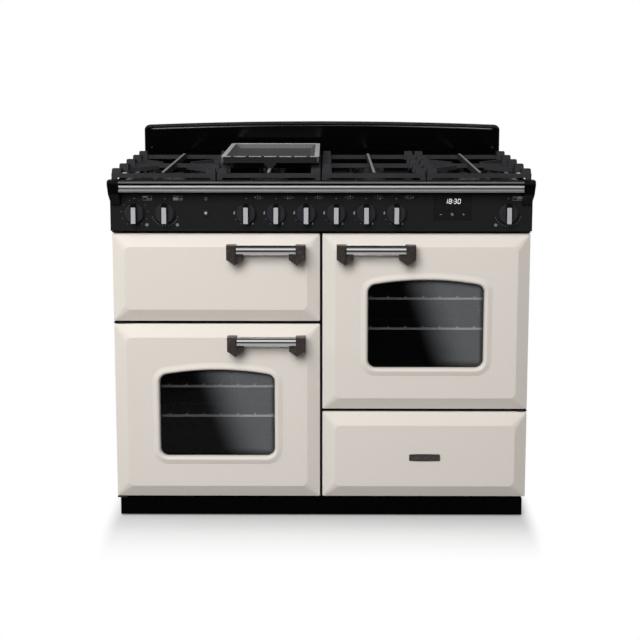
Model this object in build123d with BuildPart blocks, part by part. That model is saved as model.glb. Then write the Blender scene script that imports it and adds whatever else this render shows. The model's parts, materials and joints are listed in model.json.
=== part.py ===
"""Dual fuel range cooker: two ovens, a grill, a storage drawer and a six burner gas hob.

Millimetres. +Z is up, the front faces -Y, and the origin is on the floor under the middle.
"""
from build123d import *
import math
import os

os.makedirs("parts", exist_ok=True)

# Overall size and sheet thicknesses
WIDTH = 1092.0  # over the two side panels
REAR_Y = 324.0  # rear edge of the side panels
SHEET = 1.2  # outer casing
RUN_GAP = 0.3  # running clearance of pins, spindles and guides
SEAT_GAP = 0.3  # clearance under a lift-off piece

# Door stack, from the front face backwards
FACE_Y = -284.0  # raised field of the doors
BEVEL_DEPTH = 15.0  # from the door's rim to its raised field
BEVEL_WIDTH = 33.0
RIM_THICK = 7.0
LINER_THICK = 15.0
SEAL_GAP = 3.0  # between a closed door and the front frame
FRAME_DEPTH = 12.0
RIM_Y = FACE_Y + BEVEL_DEPTH
PANEL_BACK_Y = RIM_Y + RIM_THICK
LINER_BACK_Y = PANEL_BACK_Y + LINER_THICK
FRAME_Y = LINER_BACK_Y + SEAL_GAP
FRAME_BACK_Y = FRAME_Y + FRAME_DEPTH

# Heights
BASE_Z = 50.0  # underside of the base sheet
BASE_TOP = BASE_Z + SHEET
BOTTOM_GAP = 4.8  # under the lower doors
DOOR_BOTTOM = BASE_TOP + BOTTOM_GAP
DOOR_GAP = 9.0
SMALL_DOOR_H = 232.5  # grill door and drawer front
OVEN_DOOR_H = 470.5
DOOR_TOP = DOOR_BOTTOM + SMALL_DOOR_H + DOOR_GAP + OVEN_DOOR_H
FASCIA_BOTTOM = DOOR_TOP + DOOR_GAP
FASCIA_H = 100.0
FASCIA_TOP = FASCIA_BOTTOM + FASCIA_H
DECK_THICK = 16.0
DECK_TOP = FASCIA_TOP + DECK_THICK

# Columns of doors, as distances from the middle
CENTRE_GAP = 7.0
DOOR_INSET = 1.0  # door edge inside the casing's side
COLUMN_IN = CENTRE_GAP / 2
COLUMN_OUT = WIDTH / 2 - DOOR_INSET
DOOR_MID = (COLUMN_OUT + COLUMN_IN) / 2
CASE_IN = WIDTH / 2 - SHEET
OUTER_POST = 23.0
CENTRE_POST = 40.0
MOUTH_OUT = CASE_IN - OUTER_POST
MOUTH_IN = CENTRE_POST / 2
MOUTH_W = MOUTH_OUT - MOUTH_IN
MOUTH_MID = (MOUTH_OUT + MOUTH_IN) / 2
RAIL_LAP = 5.0  # a frame rail behind each door edge
BOTTOM_RAIL_H = 12.0
TOP_RAIL_H = 17.0

# Door details
EDGE_R = 3.0
FIELD_R = 16.0
FIELD_FILLET = 4.0
LINER_INSET = 8.0
LINER_WALL = 1.2
POCKET_INSET = 40.0  # solid edge of a door front, round its hollow back
SKIN = 2.5  # front skin over that hollow
POCKET_DEPTH = PANEL_BACK_Y - FACE_Y - SKIN
GLASS_SEAT_W = 6.0  # solid ring outside the glass
WINDOW_SIDE = 119.0  # from the door's edge to the window
WINDOW_W = COLUMN_OUT - COLUMN_IN - 2 * WINDOW_SIDE
WINDOW_BOTTOM = 114.0  # above the door's lower edge
WINDOW_DROP = 121.0  # from the door's top to the window's crown
WINDOW_ARCH = 15.0
WINDOW_CROWN = OVEN_DOOR_H - WINDOW_DROP
WINDOW_SHOULDER = WINDOW_CROWN - WINDOW_ARCH
WINDOW_R = 22.0
WINDOW_RIM = 12.0
WINDOW_RIM_RISE = 2.0
WINDOW_EDGE_R = 1.9  # outer edge of the raised rim
WINDOW_ROLL_R = 8.0  # rim rolled into the window
GLASS_THICK = 5.0
GLASS_LAP = 10.0
GLASS_REBATE = 8.0
GLASS_SEAT_Y = PANEL_BACK_Y - GLASS_REBATE
INNER_GLASS = 4.0

# Hinge pins
PIN_R = 2.5
PIN_INSET = 14.0  # from the door's hinge edge
PIN_Y = RIM_Y + RIM_THICK / 2
PIN_LENGTH = 14.0
BRACKET_THICK = 3.0
BRACKET_W = 25.0
BRACKET_NOSE = 5.0  # in front of the pin's axis

# Handles
HANDLE_REACH = 40.0
HANDLE_INSET = 36.5  # from the door's free edge to the first bracket
HANDLE_LENGTH = 204.0
HANDLE_DROP = 23.0  # from the door's top to the bracket's top
BRACKET_FACE_W = 25.5
BRACKET_FACE_H = 52.0
BRACKET_POINT = 15.0
BRACKET_BODY = 27.0
BRACKET_CHAMFER = 4.0
BRACKET_TIP = 3.5  # from the point to the bracket's inner side
WING_REACH = 18.0  # past the bracket's inner side
WING_H = 24.0  # above the bracket's point
WING_SET = 6.0  # behind the bracket's front
BAR_R = 12.75
BAR_DROP = 36.5
BAR_STAND = 26.0
BAR_Y = FACE_Y - BAR_STAND
GROOVE_INSET = 6.0
GROOVE_W = 2.0
GROOVE_DEPTH = 1.0

# Storage drawer
BOX_SIDE = 30.5  # from the mouth's edge to the drawer box
BOX_W = MOUTH_W - 2 * BOX_SIDE
BOX_H = 150.0
BOX_REAR_GAP = 117.0
BACK_INSET = 34.0  # rear sheet inside the side sheets' rear edge
BACK_PANEL_Y = REAR_Y - BACK_INSET
BOX_DEPTH = BACK_PANEL_Y - LINER_BACK_Y - BOX_REAR_GAP
BOX_WALL = 1.2
BOX_RISE = 20.0  # above the base sheet
RUNNER_T = 3.0
RUNNER_H = 24.0
RUNNER_REACH = 12.0
RUNNER_RISE = 45.0
STRIP_SHORT = 30.0  # a slide strip's length less than its channel's
BADGE_W = 82.0
BADGE_H = 17.0
BADGE_T = 2.5
BADGE_BOW = 1.0
BADGE_R = 3.0
BADGE_DROP = 120.0  # from the drawer front's top to the badge's middle

# Oven and grill compartments
OVEN_MARGIN = 18.0  # from the frame's mouth to the chamber
GRILL_MARGIN = 14.0
CHAMBER_SHEET = 1.2
MOTOR_ROOM = 108.0  # between the oven's rear wall and the rear sheet
OVEN_REAR_Y = BACK_PANEL_Y - MOTOR_ROOM
GRILL_SHORT = 46.0
GRILL_REAR_Y = OVEN_REAR_Y - GRILL_SHORT
FLANGE_SET = 2.0  # chamber flange behind the frame's front
MOUTH_Y = FRAME_Y + FLANGE_SET
LEDGE = 8.0
RACK_RISES = (202.0, 284.0)  # above the oven door's lower edge
RACK_END_GAP = 13.0
RACK_WIRE = 5.0
RACK_BAR_W = 4.0
RACK_BARS = 9
RACK_BAR_RISE = 3.0  # bars above the rack's frame
RACK_CROSS_BARS = 2
FAN_ROOM = 64.0  # between the fan cover and the rear wall
COVER_Y = OVEN_REAR_Y - FAN_ROOM
COVER_T = 2.0
LEDGE_Y = (MOUTH_Y + LEDGE, COVER_Y - LEDGE)
RACK_DEPTH = LEDGE_Y[1] - LEDGE_Y[0] - 2 * RACK_END_GAP
COVER_RINGS = (22.0, 44.0)
COVER_HOLES = 12
COVER_HOLE_R = 5.0
VENT_INSET = 30.0
VENT_PITCH = 70.0
VENT_LENGTH = 40.0
VENT_W = 8.0
VENTS = 4
FAN_R = 70.0
FAN_SET = 34.0  # fan plate in front of the rear wall
FAN_Y = OVEN_REAR_Y - FAN_SET
FAN_PLATE = 2.0
FAN_BLADES = 12
BLADE_LENGTH = 28.0
BLADE_T = 2.0
BLADE_H = 16.0
HUB_R = 12.0
SHAFT_R = 4.0
RING_R = 92.0
TUBE_R = 4.0
RING_SET = 6.0  # ring element in front of the fan plate
LEG_R = 2.8
SHAFT_END_GAP = 8.0
MOTOR_R = 42.0
MOTOR_LENGTH = 45.0
PAN_RISE = 50.0  # pan ledges above the grill's mouth
PAN_WALL = 2.5
PAN_DEPTH = 32.0
PAN_SIDE_GAP = 1.0
PAN_LIP = LEDGE + 4.0
ROD_SIDE = 8.0  # grill element
ROD_LENGTH = 340.0
ROD_PITCH = 44.0
RODS = 6
ROD_Y = -60.0
ROD_DROP = 16.0

# Control panel
FASCIA_SHEET = 4.0
FASCIA_FLANGE = 3.0
FASCIA_EDGE_R = 1.5
KNOB_RISE = 48.0
KNOB_Z = FASCIA_BOTTOM + KNOB_RISE
HOB_KNOB_PITCH = 77.6
HOB_KNOBS = 6
OUTER_KNOB_INSET = 63.0
OVEN_KNOB_PITCH = 79.0
OUTER_KNOB_X = WIDTH / 2 - OUTER_KNOB_INSET
OVEN_KNOB_X = OUTER_KNOB_X - OVEN_KNOB_PITCH
SPINDLE_R = 4.0
SPINDLE_HOLE_R = 6.0
SPINDLE_REACH = 16.0
KNOB_R = 24.5
KNOB_CHAMFER = 3.0
KNOB_STAND = 2.0
KNOB_SKIRT = 12.0
KNOB_PROUD = 24.0
GRIP_W = 15.0
GRIP_TOP = 27.5
GRIP_BOTTOM = 26.0
GRIP_R = 6.5
INSERT_W = 11.5
INSERT_H = 42.0
INSERT_T = 1.5
INSERT_RISE = 1.0
BUTTON_SHIFT = 106.0  # from the oven knob's axis
BUTTON_X = -OVEN_KNOB_X + BUTTON_SHIFT
BUTTON_DOME_R = 3.5
BUTTON_R = 7.8
BUTTON_PROUD = 6.0
BUTTON_TRAVEL = 3.0
BUTTON_LENGTH = 20.0
BEZEL_R = 10.5
BEZEL_T = 2.0
CLOCK_SHIFT = 144.0  # from the right knob's axis
CLOCK_X = OUTER_KNOB_X - CLOCK_SHIFT
CLOCK_R = 3.0
CLOCK_W = 98.5
CLOCK_H = 64.5
CLOCK_RISE = 62.0
CLOCK_Z = FASCIA_BOTTOM + CLOCK_RISE
CLOCK_GLASS = 1.5
CLOCK_LAP = 7.25  # glass over the cut-out's edge
CLOCK_BODY_W = CLOCK_W - 2 * CLOCK_LAP
CLOCK_BODY_H = CLOCK_H - 2 * CLOCK_LAP
CLOCK_BODY_D = 34.0
NEON_R = 4.0
NEON_PROUD = 1.0
NEON_BODY_R = 7.0
NEON_BODY_L = 14.0
NEON_RISE = 16.5
NEON_Z = FASCIA_BOTTOM + NEON_RISE
NEON_SHIFT = 31.5
TAP_W = 34.0
TAP_H = 40.0
TAP_D = 36.0
COLLAR_R = 12.0
COLLAR_L = 10.0
SWITCH_T = 12.0
SWITCH_LEG = 6.0
SWITCH_GAP = 1.0  # behind the pressed button
PIPE_R = 9.0
INLET_R = 14.0
INLET_BORE_R = 9.3
INLET_BORE_DEPTH = 15.0
INLET_INSET = 46.0
INLET_X = -WIDTH / 2 + INLET_INSET

# Hob
DECK_LAP = 8.0  # deck in front of the fascia
DECK_FRONT_Y = FACE_Y - DECK_LAP
DECK_SHEET = 2.0
LIP_DEPTH = 37.0  # raised front edge, over the rail
LIP_T = 10.0
LIP_R = 4.0
DECK_R = 5.0
SUPPORTS = 4
SUPPORT_PITCH = WIDTH / SUPPORTS
SUPPORT_FRONT_INSET = 34.0
SUPPORT_REAR_INSET = 112.0
SUPPORT_FRONT_Y = DECK_FRONT_Y + SUPPORT_FRONT_INSET
SUPPORT_BACK_Y = REAR_Y - SUPPORT_REAR_INSET
BIG_BURNER_X = 1.5 * SUPPORT_PITCH
BIG_BURNER_Y = (SUPPORT_FRONT_Y + SUPPORT_BACK_Y) / 2
MID_BURNER_X = 0.5 * SUPPORT_PITCH
FRONT_BURNER_INSET = 118.0  # from the support's front
REAR_BURNER_INSET = 114.0
FRONT_BURNER_Y = SUPPORT_FRONT_Y + FRONT_BURNER_INSET
REAR_BURNER_Y = SUPPORT_BACK_Y - REAR_BURNER_INSET
BIG_BURNER_R = 64.0
MID_BURNER_R = 46.0
SMALL_BURNER_R = 36.0
CROWN_H = 9.0
PORTS = 24
PORT_LENGTH = 8.0
PORT_W = 3.0
ELECTRODE_R = 3.0
ELECTRODE_GAP = 3.0
CAP_H = 4.0
CAP_DOME_R = 2.4
CAP_INSET = 6.0
CUP_R = 20.0
CUP_DEPTH = 40.0
RAIL_RISE = 7.0
RAIL_Z = FASCIA_TOP + RAIL_RISE
RAIL_H = 17.0
RAIL_D = 26.0
RAIL_NOSE_R = 7.0
RAIL_TOP = RAIL_Z + RAIL_H
RAIL_FRONT_Y = DECK_FRONT_Y - RAIL_D
LIP_BACK_Y = RAIL_FRONT_Y + LIP_DEPTH
LIP_TOP = RAIL_TOP + LIP_T
RAIL_INSET = 28.0
RAIL_HALF = WIDTH / 2 - RAIL_INSET
CAP_OVERHANG = 2.0
CAP_OUT = WIDTH / 2 + CAP_OVERHANG
CAP_PROUD = 2.0
CAP_RISE = 1.0
CAP_BEVEL = 8.0
CAP_LEAN = 3.0
CAP_THROAT = 4.0
CAP_DROP = 39.0
CAP_TAPER = 6.0
GUARD_HALF = WIDTH / 2
GUARD_T = 22.0
GUARD_SIDE_H = 113.0
GUARD_CROWN_H = 124.0
GUARD_R = 16.0
GUARD_ROLL = 8.0
GUARD_WALL = 14.0

# Pan supports
SUPPORT_GAP = 4.0
SUPPORT_RISE = 20.0
SUPPORT_Z = DECK_TOP + SUPPORT_RISE
SUPPORT_BAR_H = 11.0
SUPPORT_BAR_W = 11.0
SPINE_H = 15.0
SPINE_W = 9.0
LUG_W = 26.0
LUG_L = 24.0
LUG_H = 12.0
LUGS = 5
LUG_TAPER = 4.0  # degrees
FINGER_SHARE = 0.62  # of the way to the burner's middle
FOOT_SIDE = 14.0

# Griddle on the second support
GRIDDLE_SIDE = 5.5
GRIDDLE_W = SUPPORT_PITCH - 2 * GRIDDLE_SIDE
GRIDDLE_D = 376.0
GRIDDLE_H = 17.0
GRIDDLE_RIM = 12.0
GRIDDLE_DISH = 12.0
GRIDDLE_R = 8.0
DISH_R = 6.0
DISH_TAPER = 50.0  # degrees
GRIDDLE_INSET = 78.0  # from the support's front
GRIDDLE_FRONT_Y = SUPPORT_FRONT_Y + GRIDDLE_INSET
GRIDDLE_FOOT_W = 30.0
GRIDDLE_FOOT_D = 12.0
GRIDDLE_FOOT_H = 15.0

# Base, feet and rollers
BEAM_INSET = 76.0
BEAM_X = WIDTH / 2 - BEAM_INSET
BEAM_W = 40.0
BEAM_Z = 27.0
PLINTH_SET = 14.0  # plinth behind the doors' fields
PLINTH_Y = FACE_Y + PLINTH_SET
FOOT_INSET = 70.0
FOOT_Y = PLINTH_Y + FOOT_INSET
FOOT_R = 22.0
FOOT_H = 8.0
STEM_R = 6.0
ROLLER_R = 20.0
ROLLER_W = 25.0
ROLLER_EDGE_R = 2.0
ROLLER_INSET = 40.0
ROLLER_Y = BACK_PANEL_Y - ROLLER_INSET
BEAM_END_GAP = 50.0
BEAM_BACK_Y = ROLLER_Y - BEAM_END_GAP
AXLE_R = 4.0
FORK_T = 3.0
FORK_GAP = 1.0
PLINTH_INSET = 9.0
PLINTH_HALF = WIDTH / 2 - PLINTH_INSET
PLINTH_T = 15.0
PLINTH_EDGE_R = 2.0
PLINTH_BOTTOM = 4.0
PLINTH_H = BASE_Z - PLINTH_BOTTOM

# Cable entry
TERMINAL_INSET = 106.0
TERMINAL_X = WIDTH / 2 - TERMINAL_INSET
TERMINAL_Z = 190.0
TERMINAL_SIDE = 80.0
TERMINAL_D = 28.0
GLAND_R = 14.0
GLAND_BORE_R = 10.0
GLAND_LENGTH = 15.0


# Helpers: each adds to, or cuts from, the part that is being built

def front_plane(y):
    """Upright plane at depth y, with X to the right and Z up, that extrudes towards the front."""
    return Plane.XZ.offset(-y)


def slab(x, y, z, mode=Mode.ADD):
    """Box between two values on each axis."""
    with Locations(((x[0] + x[1]) / 2, (y[0] + y[1]) / 2, (z[0] + z[1]) / 2)):
        Box(x[1] - x[0], y[1] - y[0], z[1] - z[0], mode=mode)


def rod_y(x, z, radius, y, mode=Mode.ADD):
    """Cylinder along Y between two depths."""
    with BuildSketch(front_plane(y[1])) as disc:
        with Locations((x, z)):
            Circle(radius)
    extrude(disc.sketch, amount=y[1] - y[0], mode=mode)


def rod_z(x, y, radius, z, mode=Mode.ADD):
    """Cylinder along Z between two heights."""
    with BuildSketch(Plane.XY.offset(z[0])) as disc:
        with Locations((x, y)):
            Circle(radius)
    extrude(disc.sketch, amount=z[1] - z[0], mode=mode)


def rod_x(y, z, radius, x, mode=Mode.ADD):
    """Cylinder along X between two values."""
    with BuildSketch(Plane.YZ.offset(x[0])) as disc:
        with Locations((y, z)):
            Circle(radius)
    extrude(disc.sketch, amount=x[1] - x[0], mode=mode)


def span(a, b):
    """Two values in rising order."""
    return (min(a, b), max(a, b))


def save(part, name):
    """Label a finished piece and write it."""
    part.label = name
    export_step(part, f"parts/{name}.step")


def group(name, pieces):
    """Write several touching pieces as separate solids of one node."""
    save(Compound(children=pieces), name)


def mirrored(make, name):
    """Write a pair of pieces, one on each side of the cooker."""
    group(name, [make(-1), make(1)])


# Places that several pieces share
LEFT = -1
RIGHT = 1
LOW_DOOR_TOP = DOOR_BOTTOM + OVEN_DOOR_H
UPPER_SMALL_BOTTOM = LOW_DOOR_TOP + DOOR_GAP
DRAWER_TOP = DOOR_BOTTOM + SMALL_DOOR_H
UPPER_OVEN_BOTTOM = DRAWER_TOP + DOOR_GAP
LEFT_OVEN_Z = (BASE_TOP + BOTTOM_RAIL_H, LOW_DOOR_TOP - RAIL_LAP)
GRILL_Z = (UPPER_SMALL_BOTTOM + RAIL_LAP, FASCIA_BOTTOM - TOP_RAIL_H)
RIGHT_OVEN_Z = (UPPER_OVEN_BOTTOM + RAIL_LAP, FASCIA_BOTTOM - TOP_RAIL_H)
HOB_KNOB_X = [(i - (HOB_KNOBS - 1) / 2) * HOB_KNOB_PITCH for i in range(HOB_KNOBS)]
BURNERS = [
    (-BIG_BURNER_X, BIG_BURNER_Y, BIG_BURNER_R),
    (-MID_BURNER_X, FRONT_BURNER_Y, MID_BURNER_R),
    (-MID_BURNER_X, REAR_BURNER_Y, SMALL_BURNER_R),
    (MID_BURNER_X, FRONT_BURNER_Y, SMALL_BURNER_R),
    (MID_BURNER_X, REAR_BURNER_Y, MID_BURNER_R),
    (BIG_BURNER_X, BIG_BURNER_Y, BIG_BURNER_R),
]


# Casing

def base_frame():
    """Base sheet with two beams for the front feet and two forks with axles for the rear rollers."""
    with BuildPart() as base:
        slab((-CASE_IN, CASE_IN), (PLINTH_Y + PLINTH_T, BACK_PANEL_Y), (BASE_Z, BASE_TOP))
        for side in (LEFT, RIGHT):
            x = side * BEAM_X
            slab((x - BEAM_W / 2, x + BEAM_W / 2), (PLINTH_Y + PLINTH_T, BEAM_BACK_Y), (BEAM_Z, BASE_Z))
            cheek = ROLLER_W / 2 + FORK_GAP
            for hand in (LEFT, RIGHT):
                inner = x + hand * cheek
                slab(
                    span(inner, inner + hand * FORK_T),
                    (ROLLER_Y - ROLLER_R / 2, ROLLER_Y + ROLLER_R / 2),
                    (ROLLER_R / 2, BASE_Z),
                )
            rod_x(ROLLER_Y, ROLLER_R, AXLE_R, (x - cheek - FORK_T, x + cheek + FORK_T))
    save(base.part, "base_frame")


def roller(side, name):
    """Rear roller on its axle."""
    x = side * BEAM_X
    with BuildPart() as wheel:
        rod_x(ROLLER_Y, ROLLER_R, ROLLER_R, (x - ROLLER_W / 2, x + ROLLER_W / 2))
        fillet(wheel.edges().filter_by(GeomType.CIRCLE), radius=ROLLER_EDGE_R)
        rod_x(ROLLER_Y, ROLLER_R, AXLE_R + RUN_GAP, (x - ROLLER_W, x + ROLLER_W), Mode.SUBTRACT)
    save(wheel.part, name)


def front_feet():
    """Levelling foot: a disc and a stem under each beam."""
    def foot(side):
        with BuildPart() as piece:
            rod_z(side * BEAM_X, FOOT_Y, FOOT_R, (0.0, FOOT_H))
            rod_z(side * BEAM_X, FOOT_Y, STEM_R, (FOOT_H, BEAM_Z))
        return piece.part
    mirrored(foot, "front_feet")


def casing_panels():
    """Outer side sheets and the rear sheet, with the hole that the gas inlet passes through."""
    height = (BASE_Z, FASCIA_TOP)
    rear = (BACK_PANEL_Y, BACK_PANEL_Y + SHEET)
    pieces = []
    for side in (LEFT, RIGHT):
        with BuildPart() as side_sheet:
            slab(span(side * CASE_IN, side * WIDTH / 2), (FRAME_Y, REAR_Y), height)
        pieces.append(side_sheet.part)
    with BuildPart() as back_sheet:
        slab((-CASE_IN, CASE_IN), rear, height)
        rod_y(INLET_X, KNOB_Z, PIPE_R + RUN_GAP, rear, Mode.SUBTRACT)
    group("casing_panels", pieces + [back_sheet.part])


def front_frame():
    """Posts and rails round the oven, grill and drawer mouths."""
    def bar(x, z):
        with BuildPart() as piece:
            slab(x, (FRAME_Y, FRAME_BACK_Y), z)
        return piece.part
    full = (BASE_TOP, FASCIA_BOTTOM)
    bottom = (BASE_TOP, BASE_TOP + BOTTOM_RAIL_H)
    top = (FASCIA_BOTTOM - TOP_RAIL_H, FASCIA_BOTTOM)
    left = (-MOUTH_OUT, -MOUTH_IN)
    right = (MOUTH_IN, MOUTH_OUT)
    group("front_frame", [
        bar((-CASE_IN, -MOUTH_OUT), full),
        bar((-MOUTH_IN, MOUTH_IN), full),
        bar((MOUTH_OUT, CASE_IN), full),
        bar(left, bottom),
        bar(right, bottom),
        bar(left, top),
        bar(right, top),
        bar(left, (LOW_DOOR_TOP - RAIL_LAP, UPPER_SMALL_BOTTOM + RAIL_LAP)),
        bar(right, (DRAWER_TOP - RAIL_LAP, UPPER_OVEN_BOTTOM + RAIL_LAP)),
    ])


def plinth():
    """Black kick strip under the doors."""
    with BuildPart() as strip:
        slab(
            (-PLINTH_HALF, PLINTH_HALF),
            (PLINTH_Y, PLINTH_Y + PLINTH_T),
            (PLINTH_BOTTOM, PLINTH_BOTTOM + PLINTH_H),
        )
        fillet(strip.edges().filter_by(Axis.X).group_by(Axis.Y)[0], radius=PLINTH_EDGE_R)
    save(strip.part, "plinth")


def terminal_box():
    """Rear box for the supply cable, with its entry gland below."""
    top = TERMINAL_Z + TERMINAL_SIDE / 2
    low = TERMINAL_Z - TERMINAL_SIDE / 2
    back = BACK_PANEL_Y + SHEET
    middle_y = back + TERMINAL_D / 2
    with BuildPart() as box:
        half = TERMINAL_SIDE / 2
        slab((TERMINAL_X - half, TERMINAL_X + half), (back, back + TERMINAL_D), (low, top))
        rod_z(TERMINAL_X, middle_y, GLAND_R, (low - GLAND_LENGTH, low))
        rod_z(TERMINAL_X, middle_y, GLAND_BORE_R, (low - GLAND_LENGTH, low), Mode.SUBTRACT)
    save(box.part, "terminal_box")


# Ovens and grill

def compartment(z, margin, rear_y, side):
    """Open-fronted sheet chamber with a flange that fills the frame's mouth."""
    x = span(side * MOUTH_IN, side * MOUTH_OUT)
    inside_x = (x[0] + margin, x[1] - margin)
    inside_z = (z[0] + margin, z[1] - margin)
    slab(x, (MOUTH_Y, MOUTH_Y + CHAMBER_SHEET), z)
    slab(
        (inside_x[0] - CHAMBER_SHEET, inside_x[1] + CHAMBER_SHEET),
        (MOUTH_Y, rear_y + CHAMBER_SHEET),
        (inside_z[0] - CHAMBER_SHEET, inside_z[1] + CHAMBER_SHEET),
    )
    slab(inside_x, (MOUTH_Y, rear_y), inside_z, Mode.SUBTRACT)


def ledges(side, margin, z, y):
    """Two ledges that carry a rack or a pan, one on each inner wall."""
    for edge, hand in ((MOUTH_IN + margin, 1), (MOUTH_OUT - margin, -1)):
        slab(span(side * edge, side * (edge + hand * LEDGE)), y, (z - LEDGE, z))


def oven_cavity(side, z, door_bottom, name):
    """Oven chamber with rack ledges and a bored rear wall, and the fan cover inside it."""
    x = side * MOUTH_MID
    middle = (z[0] + z[1]) / 2
    with BuildPart() as chamber:
        compartment(z, OVEN_MARGIN, OVEN_REAR_Y, side)
        for rise in RACK_RISES:
            ledges(side, OVEN_MARGIN, door_bottom + rise, LEDGE_Y)
        rod_y(x, middle, SHAFT_R + RUN_GAP, (OVEN_REAR_Y, OVEN_REAR_Y + CHAMBER_SHEET), Mode.SUBTRACT)
    half_w = MOUTH_W / 2 - OVEN_MARGIN - RUN_GAP
    with BuildPart() as cover:
        slab(
            (x - half_w, x + half_w),
            (COVER_Y, COVER_Y + COVER_T),
            (z[0] + OVEN_MARGIN + RUN_GAP, z[1] - OVEN_MARGIN - RUN_GAP),
        )
        with BuildSketch(front_plane(COVER_Y + COVER_T)):
            with Locations((x, middle)):
                for ring_r in COVER_RINGS:
                    with PolarLocations(ring_r, COVER_HOLES):
                        Circle(COVER_HOLE_R)
                with GridLocations(MOUTH_W - 2 * OVEN_MARGIN - 2 * VENT_INSET, VENT_PITCH, 2, VENTS):
                    SlotOverall(VENT_LENGTH, VENT_W, rotation=90)
        extrude(amount=COVER_T, mode=Mode.SUBTRACT)
    group(name, [chamber.part, cover.part])


def oven_racks():
    """Two wire racks in each oven, on their ledges."""
    def rack(side, z):
        width = MOUTH_W - 2 * OVEN_MARGIN - 2 * RUN_GAP
        middle_y = (LEDGE_Y[0] + LEDGE_Y[1]) / 2
        with BuildPart() as piece:
            with BuildSketch(Plane.XY.offset(z)):
                with Locations((side * MOUTH_MID, middle_y)):
                    Rectangle(width, RACK_DEPTH)
                    Rectangle(width - 2 * RACK_WIRE, RACK_DEPTH - 2 * RACK_WIRE, mode=Mode.SUBTRACT)
                    with GridLocations(0, RACK_DEPTH / (RACK_CROSS_BARS + 1), 1, RACK_CROSS_BARS):
                        Rectangle(width, RACK_WIRE)
            extrude(amount=RACK_WIRE)
            with BuildSketch(Plane.XY.offset(z + RACK_BAR_RISE)):
                with Locations((side * MOUTH_MID, middle_y)):
                    with GridLocations((width - RACK_WIRE) / (RACK_BARS + 1), 0, RACK_BARS, 1):
                        Rectangle(RACK_BAR_W, RACK_DEPTH)
            extrude(amount=RACK_WIRE)
        return piece.part
    pieces = []
    for side, bottom in ((LEFT, DOOR_BOTTOM), (RIGHT, UPPER_OVEN_BOTTOM)):
        for rise in RACK_RISES:
            pieces.append(rack(side, bottom + rise))
    group("oven_racks", pieces)


def fan_drives():
    """Fan motor with its shaft behind each oven, and the ring element inside it."""
    rear_out = OVEN_REAR_Y + CHAMBER_SHEET
    ring_y = FAN_Y - RING_SET
    pieces = []
    for side, z in ((LEFT, LEFT_OVEN_Z), (RIGHT, RIGHT_OVEN_Z)):
        x = side * MOUTH_MID
        middle = (z[0] + z[1]) / 2
        with BuildPart() as motor:
            rod_y(x, middle, MOTOR_R, (rear_out, rear_out + MOTOR_LENGTH))
            rod_y(x, middle, SHAFT_R, (COVER_Y + COVER_T + SHAFT_END_GAP, rear_out))
        with BuildPart() as element:
            rod_y(x, middle, RING_R + TUBE_R, (ring_y - TUBE_R, ring_y + TUBE_R))
            rod_y(x, middle, RING_R - TUBE_R, (ring_y - TUBE_R, ring_y + TUBE_R), Mode.SUBTRACT)
            for hand in (LEFT, RIGHT):
                rod_y(x + hand * RING_R, middle, LEG_R, (ring_y, OVEN_REAR_Y))
        pieces += [motor.part, element.part]
    group("fan_drives", pieces)


def oven_fan(side, z, name):
    """Convection fan: a back plate, radial blades and a hub bored for the motor shaft."""
    x = side * MOUTH_MID
    middle = (z[0] + z[1]) / 2
    depth = (FAN_Y - BLADE_H, FAN_Y + FAN_PLATE)
    with BuildPart() as fan:
        rod_y(x, middle, FAN_R, (FAN_Y, FAN_Y + FAN_PLATE))
        rod_y(x, middle, HUB_R, (FAN_Y - BLADE_H, FAN_Y))
        with BuildSketch(front_plane(FAN_Y)):
            with Locations((x, middle)):
                with PolarLocations(FAN_R - BLADE_LENGTH / 2, FAN_BLADES):
                    Rectangle(BLADE_LENGTH, BLADE_T)
        extrude(amount=BLADE_H)
        rod_y(x, middle, SHAFT_R + RUN_GAP, depth, Mode.SUBTRACT)
    save(fan.part, name)


def grill_cavity():
    """Grill compartment with pan ledges, and the element that hangs from its roof."""
    pan_z = GRILL_Z[0] + PAN_RISE
    roof = GRILL_Z[1] - GRILL_MARGIN
    x = LEFT * MOUTH_MID
    across = ROD_LENGTH - ROD_SIDE
    along = (RODS - 1) * ROD_PITCH
    with BuildPart() as chamber:
        compartment(GRILL_Z, GRILL_MARGIN, GRILL_REAR_Y, LEFT)
        ledges(LEFT, GRILL_MARGIN, pan_z, (MOUTH_Y + LEDGE, GRILL_REAR_Y - LEDGE))
    with BuildPart() as element:
        with BuildSketch(Plane.XY.offset(roof - ROD_DROP - ROD_SIDE)):
            with Locations((x, ROD_Y)):
                with GridLocations(0, ROD_PITCH, 1, RODS):
                    Rectangle(ROD_LENGTH, ROD_SIDE)
                with GridLocations(across, 0, 2, 1):
                    Rectangle(ROD_SIDE, along + ROD_SIDE)
        extrude(amount=ROD_SIDE)
        with BuildSketch(Plane.XY.offset(roof - ROD_DROP)):
            with Locations((x, ROD_Y)):
                with GridLocations(across, along, 2, 2):
                    Rectangle(ROD_SIDE, ROD_SIDE)
        extrude(amount=ROD_DROP)
    group("grill_cavity", [chamber.part, element.part])


def grill_pan():
    """Shallow pan on the grill ledges."""
    z = GRILL_Z[0] + PAN_RISE
    half = MOUTH_W / 2 - GRILL_MARGIN - PAN_SIDE_GAP
    x = LEFT * MOUTH_MID
    y = (MOUTH_Y + LEDGE, GRILL_REAR_Y - LEDGE)
    inner = PAN_LIP + PAN_WALL
    with BuildPart() as pan:
        slab((x - half, x + half), y, (z, z + PAN_WALL))
        slab((x - half + PAN_LIP, x + half - PAN_LIP), (y[0] + PAN_LIP, y[1] - PAN_LIP), (z - PAN_DEPTH, z))
        slab(
            (x - half + inner, x + half - inner),
            (y[0] + inner, y[1] - inner),
            (z - PAN_DEPTH + PAN_WALL, z + PAN_WALL),
            Mode.SUBTRACT,
        )
    save(pan.part, "grill_pan")


# Doors

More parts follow.
